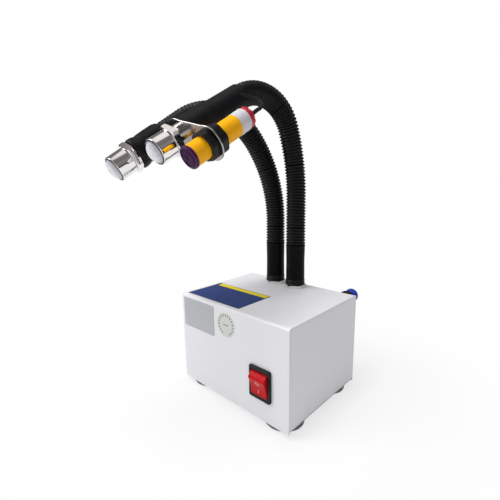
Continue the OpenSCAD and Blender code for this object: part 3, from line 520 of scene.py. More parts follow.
def plate(name, outer, holes, bottom, top, ease, place, finish, **options):
    """Flat plate with holes and eased edges. Its outlines are functions of an inset."""
    work = bmesh.new()
    bottom_rim = []
    top_rim = []
    for outline, sign in [(outer, 1)] + [(hole, -1) for hole in holes]:
        rows = []
        for z, inset in ((bottom, ease), (bottom + ease, 0), (top - ease, 0), (top, ease)):
            points = put(place, [(x, y, z) for x, y in outline(sign * inset)]) * MM
            rows.append([work.verts.new(point) for point in points])
        count = len(rows[0])
        for lower, upper in zip(rows, rows[1:]):
            for j in range(count):
                k = (j + 1) % count
                work.faces.new((lower[j], lower[k], upper[k], upper[j]))
        for rim, row in ((bottom_rim, rows[0]), (top_rim, rows[-1])):
            rim.extend(work.edges.get((row[j], row[(j + 1) % count])) for j in range(count))
    for rim in (bottom_rim, top_rim):
        bmesh.ops.triangle_fill(work, use_beauty=True, use_dissolve=False, edges=rim)
    work.verts.index_update()
    verts = [tuple(v.co / MM) for v in work.verts]
    faces = [tuple(v.index for v in face.verts) for face in work.faces]
    work.free()
    return make(name, verts, faces, finish, **options)


def around(radius_at, sides, middle=(0.0, 0.0)):
    """Outline as a function of an inset, from the radius at each turn and inset."""
    def points(inset):
        out = []
        for j in range(sides):
            turn = FULL_TURN * j / sides
            radius = radius_at(turn, inset)
            out.append((middle[0] + radius * cos(turn), middle[1] + radius * sin(turn)))
        return out
    return points


def circle(radius, sides, middle=(0.0, 0.0)):
    return around(lambda turn, inset: radius - inset, sides, middle)


def rounded(width, height, radius, steps=6):
    """Rounded rectangle about the middle, as a function of an inset."""
    def points(inset):
        corner = max(LEAST_CORNER, radius - inset)
        x = width / 2 - inset - corner
        y = height / 2 - inset - corner
        out = []
        for right, above, start in ((1, 1, 0), (-1, 1, 90), (-1, -1, 180), (1, -1, 270)):
            for j in range(steps + 1):
                turn = radians(start + 90 * j / steps)
                out.append((right * x + corner * cos(turn), above * y + corner * sin(turn)))
        return out
    return points


FILM_EASE = 0.12
FILM_WALL = 0.6


def film(name, outline, place, finish, thick, lift=0.0, **options):
    """Thin plate with eased edges that lies on a face."""
    loops = [(outline(0), lift), (outline(0), lift + FILM_WALL * thick), (outline(FILM_EASE), lift + thick)]
    return stack(name, loops, place, finish, sharp=12, **options)


# Camera, solved from the edges of the box in the photograph
CAMERA_AZIMUTH = radians(43.508)
CAMERA_ELEVATION = radians(10.751)
CAMERA_ROLL = radians(-0.829)
CAMERA_PLACE = (0.227376, -0.265925, 0.212712 + FOOT_H * MM)
FOCAL_PIXELS = 338.672
PHOTO_PIXELS = 500
FILM_WIDTH = 36
CLIP_NEAR = 0.01
CLIP_FAR = 50


def make_camera():
    level = cos(CAMERA_ELEVATION)
    towards = vec(sin(CAMERA_AZIMUTH) * level, -cos(CAMERA_AZIMUTH) * level,
                  sin(CAMERA_ELEVATION))
    right = vec(cos(CAMERA_AZIMUTH), sin(CAMERA_AZIMUTH), 0)
    above = np.cross(towards, right)
    x = right * cos(CAMERA_ROLL) + above * sin(CAMERA_ROLL)
    y = -right * sin(CAMERA_ROLL) + above * cos(CAMERA_ROLL)
    data = bpy.data.cameras.new("camera")
    data.lens = FOCAL_PIXELS / PHOTO_PIXELS * FILM_WIDTH
    data.sensor_width = FILM_WIDTH
    data.clip_start = CLIP_NEAR
    data.clip_end = CLIP_FAR
    camera = add("camera", data)
    rows = [(x[i], y[i], towards[i], CAMERA_PLACE[i]) for i in range(3)]
    camera.matrix_world = Matrix((*rows, (0, 0, 0, 1)))
    SCENE.camera = camera


make_camera()

# Sensor lead, the one free cord: steps from the middle of the red cap, then points of the right head
LEAD_STEPS = [vec(0, 0, 0), vec(0, 0, -7), vec(-1, 0, -13), vec(-3, -0.5, -18.5), vec(-7, 0, -26),
              vec(-13, 3, -29.5)]
LEAD_TURN = vec(14, -2.3, 0.6)
LEAD_END = vec(10.5, 4, 8.5)
LEAD_SMOOTHING = 6
LEAD_ROUNDING = 5


def smooth_path(points, steps):
    """Points along a smooth curve through the given ones."""
    out = []
    last = len(points) - 1
    for i in range(last):
        before = points[max(i - 1, 0)]
        start = points[i]
        end = points[i + 1]
        after = points[min(i + 2, last)]
        for k in range(steps):
            t = k / steps
            square = (2 * before - 5 * start + 4 * end - after) * t * t
            cube = (3 * start - before - 3 * end + after) * t ** 3
            out.append(0.5 * (2 * start + (end - before) * t + square + cube))
    return out + [points[-1]]


def make_lead():
    cap = vec(SENSOR_X, SENSOR_Y, SENSOR_REAR)
    route = [cap + step for step in LEAD_STEPS] + [LEAD_TURN, (LEAD_TURN + LEAD_END) / 2, LEAD_END]
    path = put(RIGHT_HEAD, smooth_path(route, LEAD_SMOOTHING)) * MM
    curve = bpy.data.curves.new("sensor_lead_sheath", "CURVE")
    curve.dimensions = "3D"
    curve.bevel_depth = LEAD_D / 2 * MM
    curve.bevel_resolution = LEAD_ROUNDING
    curve.use_fill_caps = True
    spline = curve.splines.new("POLY")
    spline.points.add(len(path) - 1)
    for target, point in zip(spline.points, path):
        target.co = (*point, 1)
    curve.materials.append(FINISH["lead"])
    lead = add("sensor_lead_sheath", curve)
    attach(lead, "right_head")
    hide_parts("sensor_lead")
    length = float(norm(np.diff(path, axis=0), axis=1).sum())


make_lead()

# Solids that stay, with their finishes
SOLIDS = {
    "paint": ("base_pan", "cover"), "screw": ("panel_screws",), "bezel": ("switch_housing",),
    "black": ("air_fitting", "power_inlet"), "brass": ("inlet_pins", "sensitivity_screw"),
    "module": ("high_voltage_module",), "wire": ("high_voltage_leads",), "board": ("control_board",),
    "alu": ("valve_body", "air_manifold", "right_nozzle_body", "left_nozzle_body"),
    "coil": ("valve_coil",), "chrome": ("neck_glands", "right_flange", "left_flange"),
    "nickel": ("gland_locknuts", "right_emitter", "left_emitter")}
SOLID_SHARP = radians(32)
for solid_finish, solids in SOLIDS.items():
    for solid in solids:
        solid_mesh = frame["nodes"][solid].data
        solid_mesh.materials.clear()
        solid_mesh.materials.append(FINISH[solid_finish])
        solid_mesh.shade_smooth()
        solid_mesh.set_sharp_from_angle(angle=SOLID_SHARP)

# Label on the top, without words: a navy border, a blue field and a yellow band
LABEL_T = 0.12
PRINT_T = 0.05
PRINT_LIFT = 0.11
LABEL_FILMS = (
    ("border", "navy_film", (78.5, 48.0), 0.8, (-30.5, -28.7), LABEL_T, 0.0),
    ("field", "blue_film", (77.6, 39.2), 0.6, (-30.5, -32.7), PRINT_T, PRINT_LIFT),
    ("band", "yellow_film", (73.0, 7.4), 0.5, (-29.0, -9.1), PRINT_T, PRINT_LIFT))
for part, film_finish, size, corner, middle, thick, lift in LABEL_FILMS:
    film(f"top_label_{part}", rounded(*size, corner), shifted(TOP_FACE, *middle), film_finish, thick, lift)

# Bare silver plate and round sticker on the front
SILVER_SIZE = (49.0, 32.0)
SILVER_MIDDLE = (-45.6, FOOT_H + 78.8)
SILVER_CORNER = 1.6
SILVER_T = 0.25
STICKER = shifted(FRONT_FACE, -3.6, FOOT_H + 80.0)
STICKER_R = 12.4
STICKER_SIDES = 48
STICKER_T = 0.14
STICKER_LIFT = 0.12
TICKS = 17
TICK_START = -60
TICK_SPAN = 300
TICK_RING = 9.9
TICK_SIZE = (2.6, 1.5)
BAR_SIZE = (7.0, 1.4)
PRINT_CORNER = 0.3
film("front_silver_plate", rounded(*SILVER_SIZE, SILVER_CORNER), shifted(FRONT_FACE, *SILVER_MIDDLE),
     "silver_film", SILVER_T)
film("round_sticker", circle(STICKER_R, STICKER_SIDES), STICKER, "paper", STICKER_T)
for tick in range(TICKS):
    tick_turn = radians(TICK_START + TICK_SPAN * tick / (TICKS - 1))
    film(f"sticker_tick_{tick + 1}", rounded(*TICK_SIZE, PRINT_CORNER),
         shifted(spun(STICKER, tick_turn), TICK_RING), "green", PRINT_T, lift=STICKER_LIFT)
film("sticker_middle_bar", rounded(*BAR_SIZE, PRINT_CORNER), STICKER, "green", PRINT_T, lift=STICKER_LIFT)

# Ridged feet, each where the solid one is
FOOT_INSET = 1.2
FOOT_EASE = 0.15
FOOT_RIDGES = 3
RIDGE_PITCH = 1.25
RIDGE_FIRST = 0.75
RIDGE_DEPTH = 0.75
RIDGE_TAPER = 0.12
RIDGE_HALF_ROOT = 0.62
RIDGE_HALF_CREST = 0.3


def foot_profile():
    profile = [(0.0, 0.0), (FOOT_R - FOOT_INSET, 0.0)]
    for k in range(FOOT_RIDGES):
        z = RIDGE_FIRST + RIDGE_PITCH * k
        crest = FOOT_R - RIDGE_TAPER * k
        root = crest - RIDGE_DEPTH
        profile += [(root, z - RIDGE_HALF_ROOT), (crest, z - RIDGE_HALF_CREST),
                    (crest, z + RIDGE_HALF_CREST), (root, z + RIDGE_HALF_ROOT)]
    profile += [(FOOT_R - FOOT_INSET, FOOT_H), (0.0, FOOT_H)]
    return eased(profile, FOOT_EASE, closed=False, steps=2)


feet_low, feet_high = (vec(*corner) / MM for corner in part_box("rubber_feet"))
for side, foot_x in (("right", feet_high[0] - FOOT_R), ("left", feet_low[0] + FOOT_R)):
    for end, foot_y in (("front", feet_low[1] + FOOT_R), ("rear", feet_high[1] - FOOT_R)):
        stands_for = ("rubber_feet",) if (side, end) == ("right", "front") else ()
        lathe(f"foot_{end}_{side}", foot_profile(), upright(foot_x, foot_y, 0), "foot", slot="foot_clear",
              replaces=stands_for)

# Dark strips along both sides where the cover meets the pan: painted shadow of the gap between them
SEAM_Z = FOOT_H + 2.6
SEAM_H = 0.55
SEAM_SHORT = 1.6
SEAM_SUNK = 0.03
SEAM_ROOT = -0.2
SEAM_FACE = 0.02
for side, sign in (("right", 1), ("left", -1)):
    seam_len = BOX_D - 2 * SEAM_SHORT
    seam_start = vec(sign * (SIDE - SEAM_SUNK), FRONT + SEAM_SHORT, SEAM_Z)
    seam_place = (seam_start, BACK, sign * UP, sign * ACROSS)
    seam_outline = [(0, -SEAM_H / 2), (seam_len, -SEAM_H / 2), (seam_len, SEAM_H / 2), (0, SEAM_H / 2)]
    stack(f"seam_{side}", [(seam_outline, SEAM_ROOT), (seam_outline, SEAM_FACE)], seam_place, "seam")

# Rocker about its pivot, with its marks
ROCKER_TRIM = 1.5
ROCKER_BACK = 3.0
ROCKER_EDGE = ((0.5, 0.0), (0.16, 0.16), (0.0, 0.5))
ARC_STEPS = 5
MITRE_LEAST = 0.3
ROCKER = (vec(SWITCH_X, FRONT + ROCKER_PIVOT, SWITCH_Z),
          vec(0, cos(ROCKER_TILT), sin(ROCKER_TILT)),
          vec(0, -sin(ROCKER_TILT), cos(ROCKER_TILT)), ACROSS)


def rocker_outline():
    """Side view of the rocker: a hollow face, two round ends and a flat back."""
    half = ROCKER_FACE / 2
    end_r = hypot(ROCKER_REACH, half)
    back_half = end_r - ROCKER_TRIM
    face_turn = atan2(half, ROCKER_REACH)
    back_turn = asin(back_half / end_r)
    turns = [face_turn + (back_turn - face_turn) * k / ARC_STEPS for k in range(ARC_STEPS + 1)]
    outline = [(-ROCKER_REACH, -half)]
    for k in range(1, 2 * ARC_STEPS):
        share = k / ARC_STEPS - 1
        outline.append((-ROCKER_REACH + ROCKER_DISH * (1 - share ** 2), half * share))
    outline += [(-end_r * cos(turn), end_r * sin(turn)) for turn in turns]
    outline += [(ROCKER_BACK, back_half), (ROCKER_BACK, -back_half)]
    outline += [(-end_r * cos(turn), -end_r * sin(turn)) for turn in reversed(turns[1:])]
    return outline


def drawn_in(points, distance):
    """Polygon moved inwards, corner by corner."""
    out = []
    count = len(points)
    area = sum(points[i - 1][0] * points[i][1] - points[i][0] * points[i - 1][1] for i in range(count))
    sense = 1 if area > 0 else -1
    for i in range(count):
        corner = vec(*points[i])
        arriving = corner - vec(*points[i - 1])
        leaving = vec(*points[(i + 1) % count]) - corner
        arriving /= norm(arriving)
        leaving /= norm(leaving)
        first = sense * vec(-arriving[1], arriving[0])
        second = sense * vec(-leaving[1], leaving[0])
        both = first + second
        out.append(tuple(corner + both * distance / max(MITRE_LEAST, both @ first)))
    return out


def on_rocker(height):
    """Place on the rocker's hollow face, at a height from its middle."""
    origin, inward, above, across = ROCKER
    half = ROCKER_FACE / 2
    slope = atan(2 * ROCKER_DISH * height / half ** 2)
    depth = ROCKER_DISH * (1 - (height / half) ** 2) - ROCKER_REACH
    return (origin + depth * inward + height * above, across,
            cos(slope) * above - sin(slope) * inward,
            -cos(slope) * inward - sin(slope) * above)


key_outline = rocker_outline()
key_loops = [(drawn_in(key_outline, inset), -ROCKER_W / 2 + deep) for inset, deep in ROCKER_EDGE]
key_loops += [(drawn_in(key_outline, inset), ROCKER_W / 2 - deep) for inset, deep in reversed(ROCKER_EDGE)]
stack("rocker_key", key_loops, ROCKER, "rocker", body="rocker", slot="red_rocker", sharp=24,
      replaces=("switch_rocker",))
MARK_SUNK = -0.25
MARK_FACE = 0.05
MARK_EASE = 0.02
MARK_SIDES = 40
RING_MARK_R = 2.1
RING_MARK_HOLE = 1.45
RING_MARK_HEIGHT = 4.4
BAR_MARK_SIZE = (0.75, 4.2)
BAR_MARK_HEIGHT = -4.6
plate("rocker_mark_off", circle(RING_MARK_R, MARK_SIDES), [circle(RING_MARK_HOLE, MARK_SIDES)], MARK_SUNK,
      MARK_FACE, MARK_EASE, on_rocker(RING_MARK_HEIGHT), "mark", body="rocker")
film("rocker_mark_on", rounded(*BAR_MARK_SIZE, PRINT_CORNER), on_rocker(BAR_MARK_HEIGHT), "mark",
     MARK_FACE - MARK_SUNK, lift=MARK_SUNK, body="rocker")

# Raised lip of the bezel
LIP_SIZE = (BEZEL_W - 1.0, BEZEL_H - 1.0)
LIP_HOLE = (BEZEL_W - 3.4, BEZEL_H - 2.0)
LIP_CORNER = 1.3
LIP_HOLE_CORNER = 0.9
LIP_SUNK = 0.3
LIP_PROUD = 0.35
LIP_EASE = 0.25
plate("bezel_lip", rounded(*LIP_SIZE, LIP_CORNER), [rounded(*LIP_HOLE, LIP_HOLE_CORNER)],
      BEZEL_T - LIP_SUNK, BEZEL_T + LIP_PROUD, LIP_EASE, shifted(FRONT_FACE, SWITCH_X, SWITCH_Z), "bezel",
      slot="black_plastic")

# Release collar of the air fitting: a stem in the fitting, a flare and a rounded rim
COLLAR_BORE_R = 4.1
COLLAR_STEM_R = 5.6
COLLAR_STEM_LEN = 8.0
COLLAR_THROAT_R = 6.4
COLLAR_MOUTH_R = 5.0
COLLAR_EASE = 0.4
COLLAR_THROAT_LEN = 0.3
COLLAR_MOUTH_DEPTH = 0.7
RIM_CORNERS = ((0.0, 1.6), (0.5, 0.5), (1.5, 0.0))
FLARE_RISE = 1.05
FLARE_BEFORE_END = 5.6
FLARE_LEN = 2.4
FLARE_STEPS = 6


def make_collar():
    stem = FITTING_END - COLLAR_STEM_LEN
    start = FITTING_END + COLLAR_GAP
    end = start + COLLAR_LEN
    profile = [(COLLAR_BORE_R, stem), (COLLAR_STEM_R, stem), (COLLAR_STEM_R, start),
               (COLLAR_THROAT_R, start + COLLAR_THROAT_LEN)]
    for k in range(FLARE_STEPS + 1):
        turn = pi / 2 * k / FLARE_STEPS
        profile.append((COLLAR_R - FLARE_RISE * cos(turn),
                        end - FLARE_BEFORE_END + FLARE_LEN * sin(turn)))
    profile += [(COLLAR_R - inward, end - back) for inward, back in RIM_CORNERS]
    profile += [(COLLAR_MOUTH_R, end), (COLLAR_BORE_R, end - COLLAR_MOUTH_DEPTH)]
    place = (vec(FITTING_X, REAR, FITTING_Z), ACROSS, -UP, BACK)
    lathe("release_collar", eased(profile, COLLAR_EASE), place, "collar", sides=64, body="collar",
          slot="blue_collar", replaces=("fitting_collar",))


make_collar()

# Hoses and air lines, each in pieces shaped through one bend, from the middle of one straight run to the
# middle of the next, not attached to any body
HOSE_SIDES = 40
ROWS_PER_RIDGE = 8
ROWS_PER_BORE_ROW = 12
RIDGE_POWER = 2.2
LINE_SIDES = 16
LINE_ROW = 4.0


def ring_at(neck, along, radius, sides):
    """Points of a circle round a neck's line."""
    origin, side, above, _ = at(neck, along)
    turns = np.linspace(0, FULL_TURN, sides, endpoint=False)
    return origin + radius * (np.cos(turns)[:, None] * side + np.sin(turns)[:, None] * above)


def tube(name, neck, outer, inner, finish, sides, **options):
    """Tube along a neck, from (along, radius) rows outside and back inside, or a rod without an inside."""
    rows = outer + inner
    count = len(rows)
    verts = np.concatenate([ring_at(neck, along, radius, sides) for along, radius in rows])
    faces = []
    for i in range(count if inner else count - 1):
        first = i * sides
        second = (i + 1) % count * sides
        for j in range(sides):
            k = (j + 1) % sides
            faces.append((first + j, second + j, second + k, first + k))
    if not inner:
        faces += [tuple(range(sides)), tuple(range((count - 1) * sides, count * sides))]
    return make(name, verts, faces, finish, body=None, sharp=180, **options)


def hose_radius(along):
    """Radius of the corrugated hose: round ridges with narrow grooves between them."""
    ridge = abs(cos(pi * (along - CUFF_TOP) / PITCH))
    return HOSE_R - GROOVE + GROOVE * (1 - ridge ** RIDGE_POWER)


def make_hose(neck):
    name = neck.name
    marks = bend_marks(neck)
    middles = [marks[2 * i + 1] + PITCH * (neck.runs[i] // 2) for i in range(BENDS - 1)]
    hose_cuts = [CUFF_TOP] + middles + [marks[-1]]
    line_cuts = [LINE_START] + middles + [marks[-1] + LINE_PAST_HOSE]
    for k in range(BENDS):
        start = hose_cuts[k]
        end = hose_cuts[k + 1]
        rows = round((end - start) / PITCH) * ROWS_PER_RIDGE
        outer = [(along, hose_radius(along)) for along in np.linspace(start, end, rows + 1)]
        bore_rows = max(2, rows // ROWS_PER_BORE_ROW)
        inner = [(along, HOSE_BORE_R) for along in np.linspace(end, start, bore_rows + 1)]
        hose = tube(f"{name}_hose_{k + 1}", neck, outer, inner, "hose", HOSE_SIDES, slot="hose_rubber")
        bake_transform(hose)
        lengths = [f"{name}_hose_length_{k + 1}"] if k < BENDS - 1 else []
        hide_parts(f"{name}_hose_bend_{k + 1}", *lengths)
        start = line_cuts[k]
        end = line_cuts[k + 1]
        rows = max(3, round((end - start) / LINE_ROW))
        outer = [(along, LINE_R) for along in np.linspace(start, end, rows + 1)]
        line = tube(f"{name}_line_{k + 1}", neck, outer, [], "line", LINE_SIDES, slot="air_line_blue")
        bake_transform(line)
        if k == 0:
            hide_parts(f"{name}_air_line")


# Smooth cuffs at the feet of the hoses, with a slight waist and three rings
CUFF_BORE_R = 7.6
CUFF_SIDES = 56
CUFF_STEPS = 14
CUFF_WAIST = 0.14
CUFF_RIPPLE = 0.06
CUFF_RIPPLE_TURN = 9
CUFF_FOOT_IN = 0.5
CUFF_TOP_CORNERS = ((0.28, 1.8), (0.28, 0.6), (-0.3, 0.0))
CUFF_EASE = 0.35
CUFF_BARE_START = GLAND_H + 7.0
CUFF_BARE_LEN = CUFF_TOP - GLAND_H - 9.5
CUFF_RINGS = 3
RING_FIRST = 1.1
RING_PITCH = 2.1
RING_EASE = 0.25
RING_HALF_OUTLINE = ((-1.0, 0.75), (-0.1, 0.75), (0.45, 0.25))


def make_cuff(neck):
    name = neck.name
    place = upright(neck.x, NECK_Y, TOP)
    for k in range(CUFF_RINGS):
        middle = GLAND_H + RING_FIRST + RING_PITCH * k
        ring = [(CUFF_R + out, middle - half) for out, half in RING_HALF_OUTLINE]
        ring += [(CUFF_R + out, middle + half) for out, half in reversed(RING_HALF_OUTLINE)]
        lathe(f"{name}_cuff_ring_{k + 1}", eased(ring, RING_EASE, steps=2), place, "ring",
              sides=CUFF_SIDES, slot="sleeve_rubber", sharp=60)
    profile = [(CUFF_BORE_R, GLAND_H), (CUFF_R - CUFF_FOOT_IN, GLAND_H)]
    for k in range(CUFF_STEPS + 1):
        share = k / CUFF_STEPS
        swell = CUFF_RIPPLE * sin(CUFF_RIPPLE_TURN * share) - CUFF_WAIST * sin(pi * share)
        profile.append((CUFF_R + swell, CUFF_BARE_START + CUFF_BARE_LEN * share))
    profile += [(CUFF_R + out, CUFF_TOP - down) for out, down in CUFF_TOP_CORNERS]
    profile.append((CUFF_BORE_R, CUFF_TOP))
    lathe(f"{name}_cuff_skin", eased(profile, CUFF_EASE, steps=2), place, "cuff", sides=CUFF_SIDES,
          slot="sleeve_rubber", sharp=50, replaces=(f"{name}_cuff",))


for each_neck in (RIGHT, LEFT):
    make_hose(each_neck)
    make_cuff(each_neck)

# Sleeves of the heads: shrunk over the hose at the rear, thicker and beaded at the front
SLEEVE_BORE_R = 8.1
SLEEVE_REAR = 0.3
SLEEVE_LIP_END = 0.8
SLEEVE_BEAD_R = 13.45
SLEEVE_FRONT_R = 12.9
SLEEVE_FACE_R = 12.3


def make_sleeve(neck, head, rear, middle, front):
    """Sleeve from rows of its rear and its middle, and of its front counted back from its end."""
    name = neck.name
    profile = [(SLEEVE_BORE_R, SLEEVE_REAR), *rear, *middle]
    profile += [(radius, neck.sleeve - back) for radius, back in front]
    profile += [(SLEEVE_FACE_R, neck.sleeve), (SLEEVE_BORE_R, neck.sleeve)]
    lathe(f"{name}_sleeve_skin", profile, head, "sleeve", body=f"{name}_head", slot="sleeve_rubber",
          sharp=55, replaces=(f"{name}_sleeve",))


RIB_ROWS = 96
RIB_R = 12.05
RIB_WIDENING = 0.012
RIB_DEPTH = 0.30
RIB_POWER = 1.6
RIB_FADE = 0.55
RIB_START_LEN = 3.0
STEP_Z = 37.0
STEP_R = 13.42
RIB_END = STEP_Z - 2.0
STEP_CORNERS = ((12.75, STEP_Z - 1.2), (13.2, STEP_Z), (STEP_R, STEP_Z + 1.5))
HOLLOW_START = STEP_Z + 2.5
HOLLOW_END = RIGHT.sleeve - 6.0
HOLLOW_DEPTH = 0.25
HOLLOW_STEPS = 11
RIGHT_REAR = ((11.4, SLEEVE_REAR), (11.9, SLEEVE_LIP_END))
RIGHT_FRONT = ((SLEEVE_BEAD_R, 4.5), (SLEEVE_BEAD_R, 1.2), (SLEEVE_FRONT_R, 0.25))


def right_sleeve_middle():
    """The hose's ridges show through the rear half as ribs that fade towards a step."""
    rows = []
    for k in range(1, RIB_ROWS + 1):
        z = SLEEVE_LIP_END + (RIB_END - SLEEVE_LIP_END) * k / RIB_ROWS
        fade = (1 - RIB_FADE * z / STEP_Z) * min(1.0, z / RIB_START_LEN)
        rib = 0.5 - abs(cos(pi * z / PITCH)) ** RIB_POWER
        rows.append((RIB_R + RIB_WIDENING * z + RIB_DEPTH * fade * rib, z))
    rows += STEP_CORNERS
    for k in range(HOLLOW_STEPS + 1):
        share = k / HOLLOW_STEPS
        z = HOLLOW_START + (HOLLOW_END - HOLLOW_START) * share
        rows.append((STEP_R - HOLLOW_DEPTH * sin(pi * share), z))
    return rows


LEFT_R = 12.7
LEFT_SWELL = 0.15
LEFT_STEPS = 7
LEFT_START = 4.0
LEFT_LEN = LEFT.sleeve - 14.5
LEFT_NECK_R = 12.2
LEFT_REAR = ((11.7, SLEEVE_REAR), (LEFT_NECK_R, SLEEVE_LIP_END), (LEFT_NECK_R, 2.0), (12.65, 3.2))
LEFT_FRONT = ((12.6, 9.6), (LEFT_NECK_R, 9.0), (LEFT_NECK_R, 8.2), (12.8, 7.4), (13.2, 6.0),
              (SLEEVE_BEAD_R, 4.0), (SLEEVE_BEAD_R, 1.6), (SLEEVE_FRONT_R, 0.4))


def left_sleeve_middle():
    """A slight swell between the rear and the groove behind the front bead."""
    shares = [k / LEFT_STEPS for k in range(LEFT_STEPS + 1)]
    return [(LEFT_R + LEFT_SWELL * sin(pi * share), LEFT_START + LEFT_LEN * share) for share in shares]


make_sleeve(RIGHT, RIGHT_HEAD, RIGHT_REAR, right_sleeve_middle(), RIGHT_FRONT)
make_sleeve(LEFT, LEFT_HEAD, LEFT_REAR, left_sleeve_middle(), LEFT_FRONT)

# Nozzle caps, seals and milky domes
CAP_BORE_R = 8.1
CAP_FLOOR = 2.0
CAP_SIDES = 96
CAP_CHAMFER = 0.55
CAP_LIP = 0.35
CAP_EASE = 0.25
SEAL_SEAT = 0.45
SEAL_EASE = 0.12
TIP_R = CAP_R - CAP_WALL - TIP_GAP
TIP_STEM_R = 5.0
TIP_STEM_LEN = 6.0
TIP_FLANGE = 2.0
SEAL_OUTLINE = ((TIP_R + 0.03, -0.44), (CAP_R - 0.45, -0.44), (CAP_R - 0.5, -0.05), (CAP_R - 0.85, 0.1),
                (TIP_R + 0.03, 0.05))
TIP_REAR = ((0.0, -TIP_STEM_LEN), (TIP_STEM_R, -TIP_STEM_LEN), (TIP_STEM_R, -TIP_FLANGE),
            (TIP_R, -TIP_FLANGE), (TIP_R, -0.35), (TIP_R - 0.12, -0.05))
DOME_R = TIP_R - 0.4
DOME_STEPS = 15
TIP_REACH = 1.25 * CAP_R
# Painted shading of the domes: colour multipliers at the edge and at the middle, and where the darkening
# starts and ends
TIP_PAINTED_SHADE_EDGE = (0.46, 0.44, 0.52)
TIP_PAINTED_SHADE_MIDDLE = (1.0, 1.0, 1.0)
TIP_PAINTED_SHADE_START = 0.16
TIP_PAINTED_SHADE_END = 0.62


def tip_material(name, middle):
    """Milky plastic with painted shading: its dome is left white at the middle and darkened towards its
    edge.
    """
    material(name, name, (0.86, 0.855, 0.89), (0.84, 0.835, 0.87), 0.40, scale=20, detail=0.0, spec=0.2)
    tree = FINISH[name].node_tree
    shader = tree.nodes["Principled BSDF"]
    plain = shader.inputs["Base Color"].links[0].from_socket
    coords = node(tree, "ShaderNodeTexCoord")
    centred = node(tree, "ShaderNodeMapping", {
        "Vector": coords.outputs["Object"], "Location": [-c / TIP_REACH for c in middle],
        "Scale": [1 / (TIP_REACH * MM)] * 3})
    nearness = node(tree, "ShaderNodeTexGradient", {"Vector": centred}, gradient_type="SPHERICAL")
    painted_shade = ramp(tree, nearness.outputs["Fac"], TIP_PAINTED_SHADE_EDGE, TIP_PAINTED_SHADE_MIDDLE, TIP_PAINTED_SHADE_START,
                 TIP_PAINTED_SHADE_END)
    with_painted_shade = node(tree, "ShaderNodeMix", {"Factor": 1.0, "A": plain, "B": painted_shade}, data_type="RGBA",
                  blend_type="MULTIPLY")
    plug(tree, shader, {"Base Color": with_painted_shade.outputs["Result"]})


def make_nozzle(name, head, rear):
    """Cap, seal and dome of a nozzle, on a flange whose rear is at a length along the head."""
    body = f"{name}_head"
    base = rear + FLANGE_T
    rim = base + CAP_LEN
    seat = rim - SEAL_SEAT
    inside = CAP_R - CAP_WALL
    cap = [(CAP_BORE_R, base), (CAP_R - CAP_CHAMFER, base), (CAP_R, base + CAP_CHAMFER),
           (CAP_R, seat - SEAL_SEAT), (CAP_R - CAP_LIP, seat), (inside, seat), (inside, base + CAP_FLOOR),
           (CAP_BORE_R, base + CAP_FLOOR)]
    lathe(f"{name}_cap_shell", eased(cap, CAP_EASE), head, "chrome", sides=CAP_SIDES, body=body,
          slot="gland_chrome", sharp=60, replaces=(f"{name}_cap",))
    seal = [(radius, rim + height) for radius, height in SEAL_OUTLINE]
    lathe(f"{name}_seal", eased(seal, SEAL_EASE), head, "seal", body=body, slot="sleeve_rubber")
    ball_r = (DOME_R ** 2 + DOME_H ** 2) / (2 * DOME_H)
    dome = [(radius, rim + height) for radius, height in TIP_REAR]
    for k in range(DOME_STEPS):
        turn = asin(DOME_R / ball_r) * (1 - k / DOME_STEPS)
        dome.append((ball_r * sin(turn), rim + DOME_H - ball_r + ball_r * cos(turn)))
    dome.append((0.0, rim + DOME_H))
    # The dome's finish carries painted shading, darker towards its rim
    finish = f"{name}_milky_tip"
    tip_material(finish, shifted(head, z=rim + DOME_H)[0])
    lathe(f"{name}_dome", dome, head, finish, body=body, slot="tip_milky", sharp=50,
          replaces=(f"{name}_tip",))


make_nozzle("right", RIGHT_HEAD, BRACKET_FRONT + RIGHT.shank)
make_nozzle("left", LEFT_HEAD, LEFT.sleeve + LEFT.shank)

# Bracket plate of the sensor
BRACKET_EASE = 0.3
BRACKET_ARC = 49
BRACKET_NOZZLE_HOLE = circle(8.1, 56)
BRACKET_SENSOR_HOLE = circle(9.1, 56, (SENSOR_X, SENSOR_Y))


def bracket(inset):
    """Two round ends joined by a web a little narrower than they are."""
    radius = BRACKET_R - inset
    meeting = asin((WEB_HALF - inset) / radius)
    ends = ((0, np.linspace(meeting, FULL_TURN - meeting, BRACKET_ARC)),
            (SENSOR_OFF, np.linspace(meeting - pi, pi - meeting, BRACKET_ARC)))
    flat = [(middle + radius * cos(a), radius * sin(a)) for middle, turns in ends for a in turns]
    cosine = cos(SENSOR_TURN)
    sine = sin(SENSOR_TURN)
    return [(x * cosine + y * sine, y * cosine - x * sine) for x, y in flat]


plate("bracket_plate", bracket, [BRACKET_NOZZLE_HOLE, BRACKET_SENSOR_HOLE], RIGHT.sleeve, BRACKET_FRONT,
      BRACKET_EASE, RIGHT_HEAD, "steel", body="right_head", slot="gland_chrome", sharp=30,
      replaces=("sensor_bracket",))

# Nuts of the sensor, before and behind the bracket, the rear one with a flange
NUT_SIDES = 96
NUT_HOLE = circle(SENSOR_R + 0.1, 72)
NUT_FLANGE_T = 2.5
NUT_FLANGE_R = NUT_FLATS / 2 + 0.8
NUT_OVERLAP = 0.1
HEX_POINTS = 120
HEX_FLATS = NUT_FLATS - 1.2
HEX_R = NUT_FLATS / 2 + 0.1


def turned_hex(turn, inset):
    """Radius of a hexagon whose corners were turned down."""
    from_flat = turn % (pi / 3) - pi / 6
    return min(HEX_FLATS / 2 / cos(from_flat), HEX_R) - inset


